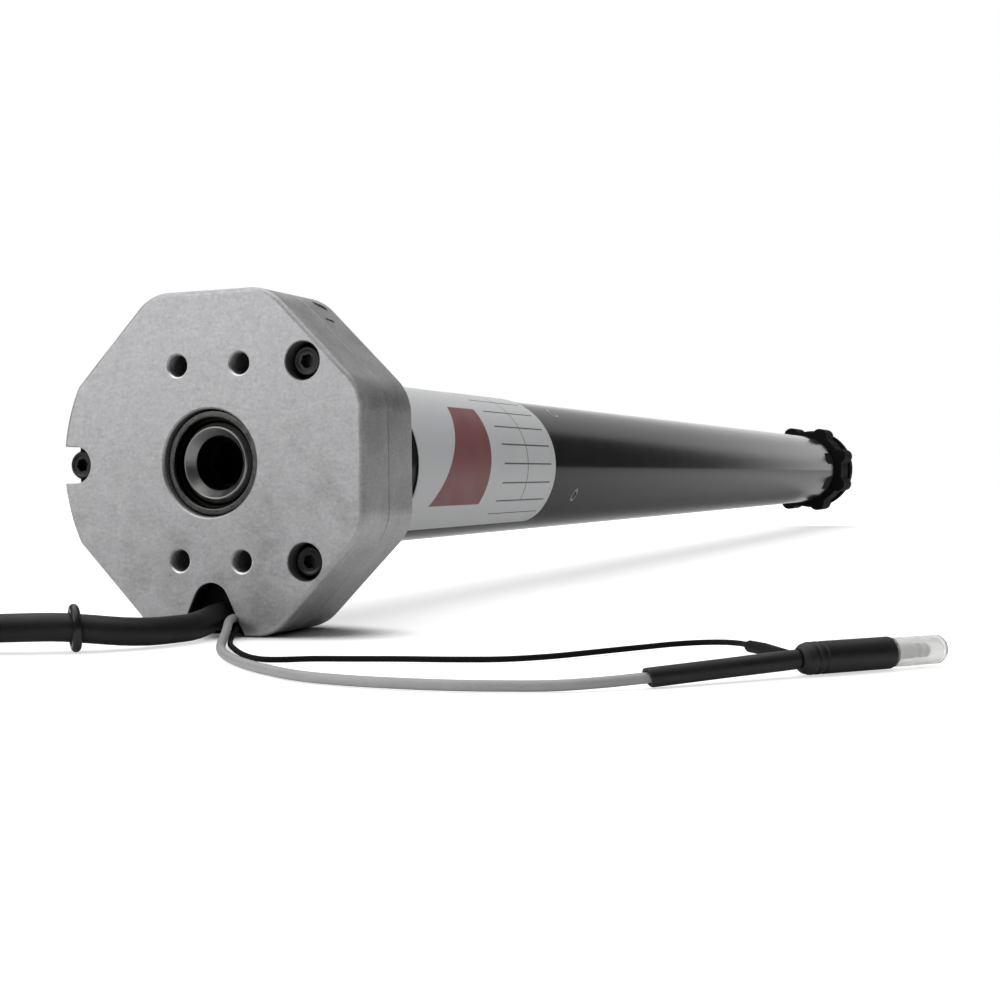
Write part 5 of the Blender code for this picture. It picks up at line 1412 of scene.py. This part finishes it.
class SHUTTER_OT_leads(bpy.types.Operator):
    """Build the service lead with its sleeve, plug and clear cap, and the aerial wire with its tip"""

    bl_idname = "shutter.leads"
    bl_label = "Service Lead and Aerial"

    def execute(self, context):
        cord = context.scene.shutter_cords
        self.service_lead(cord)
        self.aerial(cord)
        return {"FINISHED"}

    def service_lead(self, cord):
        """The lead climbs a little in its sleeve, and its sleeve, plug and cap lie in one line."""
        heading, gap = math.radians(PLUG_HEADING), 0.0003
        ahead = np.array([-math.sin(heading), math.cos(heading), 0.0])
        climb = math.asin((cord.plug_high - PLUG_PLACE[2]) / cord.sleeve_long)
        through = ahead * math.cos(climb) + UPWARD * math.sin(climb)
        inside = np.array(PLUG_PLACE) + through * np.linspace(0, cord.sleeve_long - 0.0010, 26)[1:, None]
        route = np.concatenate([smooth_path(LEAD_ROUTE, 0.0012), inside])

        def along(distance):
            at = np.array(PLUG_PLACE) * (1, 1, 0) + ahead * distance + UPWARD * cord.plug_high
            return ON_FOOT @ Matrix.Translation(at.tolist()) @ Matrix.Rotation(heading, 4, "Z")

        shape = [swept(route, cord.lead / 2, 20)]
        lead = piece("grey_lead", shape, "grey_sheath", "head", ["service_lead"], ON_FOOT)
        place = ON_FOOT @ Matrix.Translation(PLUG_PLACE) @ Euler((climb, 0, heading)).to_matrix().to_4x4()
        sleeve = piece("shrink_sleeve", self.sleeve(cord), "black_rubber", "head", ["lead_sleeve"], place)
        place = along(cord.sleeve_long + gap)
        plug = piece("plug_barrel", self.plug(cord), "black_rubber", "head", ["plug_body"], place)
        place = along(cord.sleeve_long + cord.plug_long + 2 * gap)
        cap = piece("plug_cover", self.cap(cord), "clear_plastic", "head", ["plug_cap"], place)
        pin = piece("plug_pin", self.pin(cord), "white_plastic", "head", (), place, "bright_steel")

    def aerial(self, cord):
        """The aerial wire and its tapered tip."""
        route = smooth_path(AERIAL_ROUTE, 0.001)
        shape = [swept(route, cord.aerial / 2, 16)]
        wire = piece("aerial_cord", shape, "matt_plastic", "head", ["aerial_wire"], ON_FOOT, "black_rubber")
        line = soften([
            (0.0, 0.0), (cord.tip_r, 0.0), (cord.tip_r, cord.tip_taper), (cord.tip_end_r, cord.tip_long),
            (0.0, cord.tip_long),
        ], 0.0004)
        turn = Euler(np.radians(TIP_TURN).tolist()).to_matrix().to_4x4()
        place = ON_FOOT @ Matrix.Translation(TIP_PLACE) @ turn
        shape = [patch(turned(line, 24))]
        tip = piece("aerial_sleeve", shape, "matt_plastic", "head", ["aerial_tip"], place, "black_rubber")

    def sleeve(self, cord):
        """The shrunk sleeve: a turned line that swells towards the plug, with its open end cut aslant."""
        radius, long, lead_r = cord.sleeve_r, cord.sleeve_long, cord.lead / 2 + 0.0001
        line = soften([
            (0.0, long - 0.0004), (lead_r, long - 0.0004), (lead_r, 0.0), (radius - 0.0001, 0.0),
            (radius, 0.0004), (radius, long * 0.5), (radius * 1.03, long * 0.8), (radius * 1.02, long),
            (0.0, long),
        ], 0.0003)
        grid = turned(line, 32)
        slant = cord.sleeve_cut * np.clip(1 - grid[..., 1] / 0.006, 0, 1)
        grid[..., 1] -= slant * grid[..., 2] / radius
        return [patch(grid)]

    def plug(self, cord):
        """The plug's barrel: a turned line with a tapered end and two thin grooves near it."""
        radius, long, at = cord.plug_r, cord.plug_long, cord.plug_groove
        cut, wide, apart = radius - 0.00025, 0.0006, 0.0016
        line = [(0.0, 0.0), (radius * 0.66, 0.0), (radius * 0.90, 0.0009), (radius, 0.0020)]
        for y in (at, at + apart):
            line += [(radius, y), (cut, y + wide * 0.3), (cut, y + wide * 0.7), (radius, y + wide)]
        line += [(radius, long - 0.0004), (radius - 0.0004, long), (0.0, long)]
        return [patch(turned(soften(line, 0.00015), HOLE))]

    def cap(self, cord):
        """The clear cap: an open shell with a domed end, turned from its outer and inner lines."""
        dome = np.linspace(math.pi / 2, 0, 9)
        rise = cord.cap_long - cord.cap_dome * (1 - np.cos(dome))
        thin = cord.cap_r - cord.cap_wall
        outer = np.stack([cord.cap_r * np.sin(dome), rise], axis=1)
        inner = np.stack([thin * np.sin(dome), rise - cord.cap_wall], axis=1)
        line = np.concatenate([[(cord.cap_r, 0.0)], outer, inner[::-1], [(thin, 0.0)]])
        return [patch(turned(line, HOLE), loop=True)]

    def pin(self, cord):
        """The pin in the cap: a turned line with a collar, two grooves and a tapered end."""
        radius, thin, end = cord.pin_r, cord.pin_r * 0.65, cord.pin_long
        collar = radius * 1.3
        line = [(0.0, -0.0002), (collar, -0.0002), (collar, 0.0012), (radius, 0.0016)]
        for y in (end - 0.0038, end - 0.0020):
            line += [(radius, y), (thin, y + 0.0003), (thin, y + 0.0009), (radius, y + 0.0012)]
        line += [(radius * 0.6, end), (0.0, end)]
        return [patch(turned(soften(line, 0.0001), 32))]


# CAD pieces that stay, and the stage


KEPT = {
    "bright_steel": (
        "planet_plate", "rear_bearing", "front_bearing", "rotor_shaft", "ring_gear", "first_carrier",
        "second_carrier", "output_shaft", "wheel_clip", *(f"crank_planet_{k}" for k in (1, 2, 3)),
        *(f"stage_{stage}_planet_{k}" for stage in (1, 2, 3) for k in (1, 2, 3)),
    ),
    "cast_aluminium": ("tube_flange", "rear_bracket", "front_bracket"),
    "bronze": ("output_bush",),
    "oiled_bronze": ("socket_bush",),
    "copper": ("slip_ring", "rear_winding", "front_winding"),
    "lamination": ("stator_core", "rotor_core", "brake_disc"),
    "black_plastic": ("brush_block", "coil_tie"),
    "matt_plastic": ("cable_gland", "end_cap"),
    "grey_plastic": ("brake_magnet",),
    "white_plastic": ("run_capacitor",),
    "board_green": ("control_board",),
}


class SHUTTER_OT_inner(bpy.types.Operator):
    """Give the CAD pieces that stay their finishes"""

    bl_idname = "shutter.inner"
    bl_label = "Inner Pieces"

    def execute(self, context):
        for look, names in KEPT.items():
            for name in names:
                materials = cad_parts[name].data.materials
                materials.clear()
                materials.append(finish(look))
        return {"FINISHED"}


class SHUTTER_OT_stage(bpy.types.Operator):
    """Build the floor, the lights, the background and the camera"""

    bl_idname = "shutter.stage"
    bl_label = "Stage"

    def execute(self, context):
        self.floor(context)
        self.world(context)
        self.lights(context)
        self.camera(context)
        context.scene.view_settings.view_transform = "Standard"
        return {"FINISHED"}

    def floor(self, context):
        """A pale floor. It glows more the farther it is from the part, and not at all under the head."""
        x, y = np.meshgrid(*[np.linspace(-3, 3, 25)] * 2)
        points, faces, _ = patch(np.stack([x, y, np.full_like(x, -0.0001)], axis=-1), ring=False)
        mesh = bpy.data.meshes.new("floor")
        mesh.from_pydata(points.tolist(), [], faces.tolist())
        mesh.materials.append(finish("floor"))
        graph, shader, _ = reopened(finish("floor"))
        where = graph.object_place()
        away = graph.vector("DISTANCE", where, (0.0, 0.2, 0.0))
        beside = graph.vector("SUBTRACT", where, (FOOT + (0, 0.013, 0)).tolist())
        beside = graph.vector("LENGTH", graph.vector("MULTIPLY", beside, (1 / 0.044, 1 / 0.020, 0.0)))
        lift = graph.math("MULTIPLY", graph.span(away, 0.5, 1.6, 0.62, 1.0), graph.span(beside, 0.6, 1.2))
        graph.set(shader.inputs["Emission Color"], WHITE)
        graph.set(shader.inputs["Emission Strength"], graph.math("MULTIPLY", lift, seen(graph)))
        floor = bpy.data.objects.new("floor", mesh)
        context.scene.collection.objects.link(floor)

    def world(self, context):
        """White for straight rays. Others see a soft room: bright above and behind, dim on the right."""
        world = bpy.data.worlds.new("studio")
        context.scene.world = world
        world.use_nodes = True
        world.node_tree.nodes.clear()
        graph = Graph(world.node_tree)
        x, y, z = graph.parts(graph.add("ShaderNodeTexCoord").outputs["Generated"])
        behind = graph.math("MULTIPLY", graph.span(y, 0.70, 0.90), graph.span(z, 0.38, 0.55, 1.0, 0.0))
        level = graph.math("MULTIPLY_ADD", behind, graph.span(z, 0.10, 0.28, 1.05, 0.55), 0.18)
        aside = graph.math("MULTIPLY_ADD", z, 0.15, x)
        left = graph.math("MULTIPLY", level, graph.span(aside, 0.17, 0.24, 1.0, 0.03))
        above = graph.span(z, 0.45, 0.85, 0.0, 0.55)
        above = graph.math("MULTIPLY", above, graph.span(x, 0.05, 0.55, 1.0, 0.5))
        bright = graph.math("MAXIMUM", left, above)
        room = graph.add("ShaderNodeCombineColor", {0: bright, 1: bright, 2: bright}).outputs[0]
        shown = graph.blend(straight(graph), room, WHITE)
        back = graph.add("ShaderNodeBackground", {"Color": shown, "Strength": 1.0})
        graph.add("ShaderNodeOutputWorld", {"Surface": back.outputs[0]})

    def lights(self, context):
        """Plain soft boxes: overhead, and at the front on the left."""
        for name, place, aim, wide, high, power in SOFT_BOXES:
            light = bpy.data.lights.new(name, "AREA")
            light.shape = "RECTANGLE"
            light.size, light.size_y, light.energy = wide, high, power
            made = bpy.data.objects.new(name, light)
            made.location = place
            made.rotation_euler = (Vector(aim) - Vector(place)).to_track_quat("-Z", "Y").to_euler()
            made.visible_camera = False
            context.scene.collection.objects.link(made)

    def camera(self, context):
        """The photo's camera."""
        camera = bpy.data.cameras.new("camera")
        camera.sensor_width = SENSOR
        camera.lens = CAMERA_LENS
        camera.clip_start, camera.clip_end = 0.01, 50.0
        made = bpy.data.objects.new("camera", camera)
        yaw, pitch, roll = (math.radians(degrees) for degrees in CAMERA_TURN)
        turn = Matrix.Rotation(yaw, 4, "Z") @ Matrix.Rotation(math.pi / 2 + pitch, 4, "X")
        place = AXIS + CAMERA_PLACE
        made.matrix_world = Matrix.Translation(place.tolist()) @ turn @ Matrix.Rotation(roll, 4, "Z")
        context.scene.collection.objects.link(made)
        context.scene.camera = made


class SHUTTER_PT_panel(bpy.types.Panel):
    """Buttons for the motor's pieces"""

    bl_idname = "SHUTTER_PT_panel"
    bl_label = "Shutter Motor"
    bl_space_type = "VIEW_3D"
    bl_region_type = "UI"
    bl_category = "Shutter Motor"

    def draw(self, context):
        for operator in OPERATORS:
            self.layout.operator(operator.bl_idname)


GROUPS = {
    "shutter_head": HeadSizes, "shutter_crank": CrankSizes, "shutter_tube": TubeSizes,
    "shutter_cords": CordSizes, "shutter_finishes": Finishes,
}
OPERATORS = (
    SHUTTER_OT_power_cable, SHUTTER_OT_leads, SHUTTER_OT_head, SHUTTER_OT_screws, SHUTTER_OT_crank,
    SHUTTER_OT_tube, SHUTTER_OT_label, SHUTTER_OT_wheel, SHUTTER_OT_inner, SHUTTER_OT_stage,
)


def register():
    for kind in (*GROUPS.values(), *OPERATORS, SHUTTER_PT_panel):
        bpy.utils.register_class(kind)
    for name, kind in GROUPS.items():
        setattr(bpy.types.Scene, name, PointerProperty(type=kind))


def unregister():
    for name in GROUPS:
        delattr(bpy.types.Scene, name)
    for kind in reversed((*GROUPS.values(), *OPERATORS, SHUTTER_PT_panel)):
        bpy.utils.unregister_class(kind)


def main():
    """Registers the add-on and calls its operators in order."""
    register()
    bpy.ops.shutter.power_cable()
    bpy.ops.shutter.leads()
    bpy.ops.shutter.head()
    bpy.ops.shutter.screws()
    bpy.ops.shutter.crank()
    bpy.ops.shutter.tube()
    bpy.ops.shutter.label()
    bpy.ops.shutter.wheel()
    bpy.ops.shutter.inner()
    bpy.ops.shutter.stage()


if __name__ == "__main__":
    main()
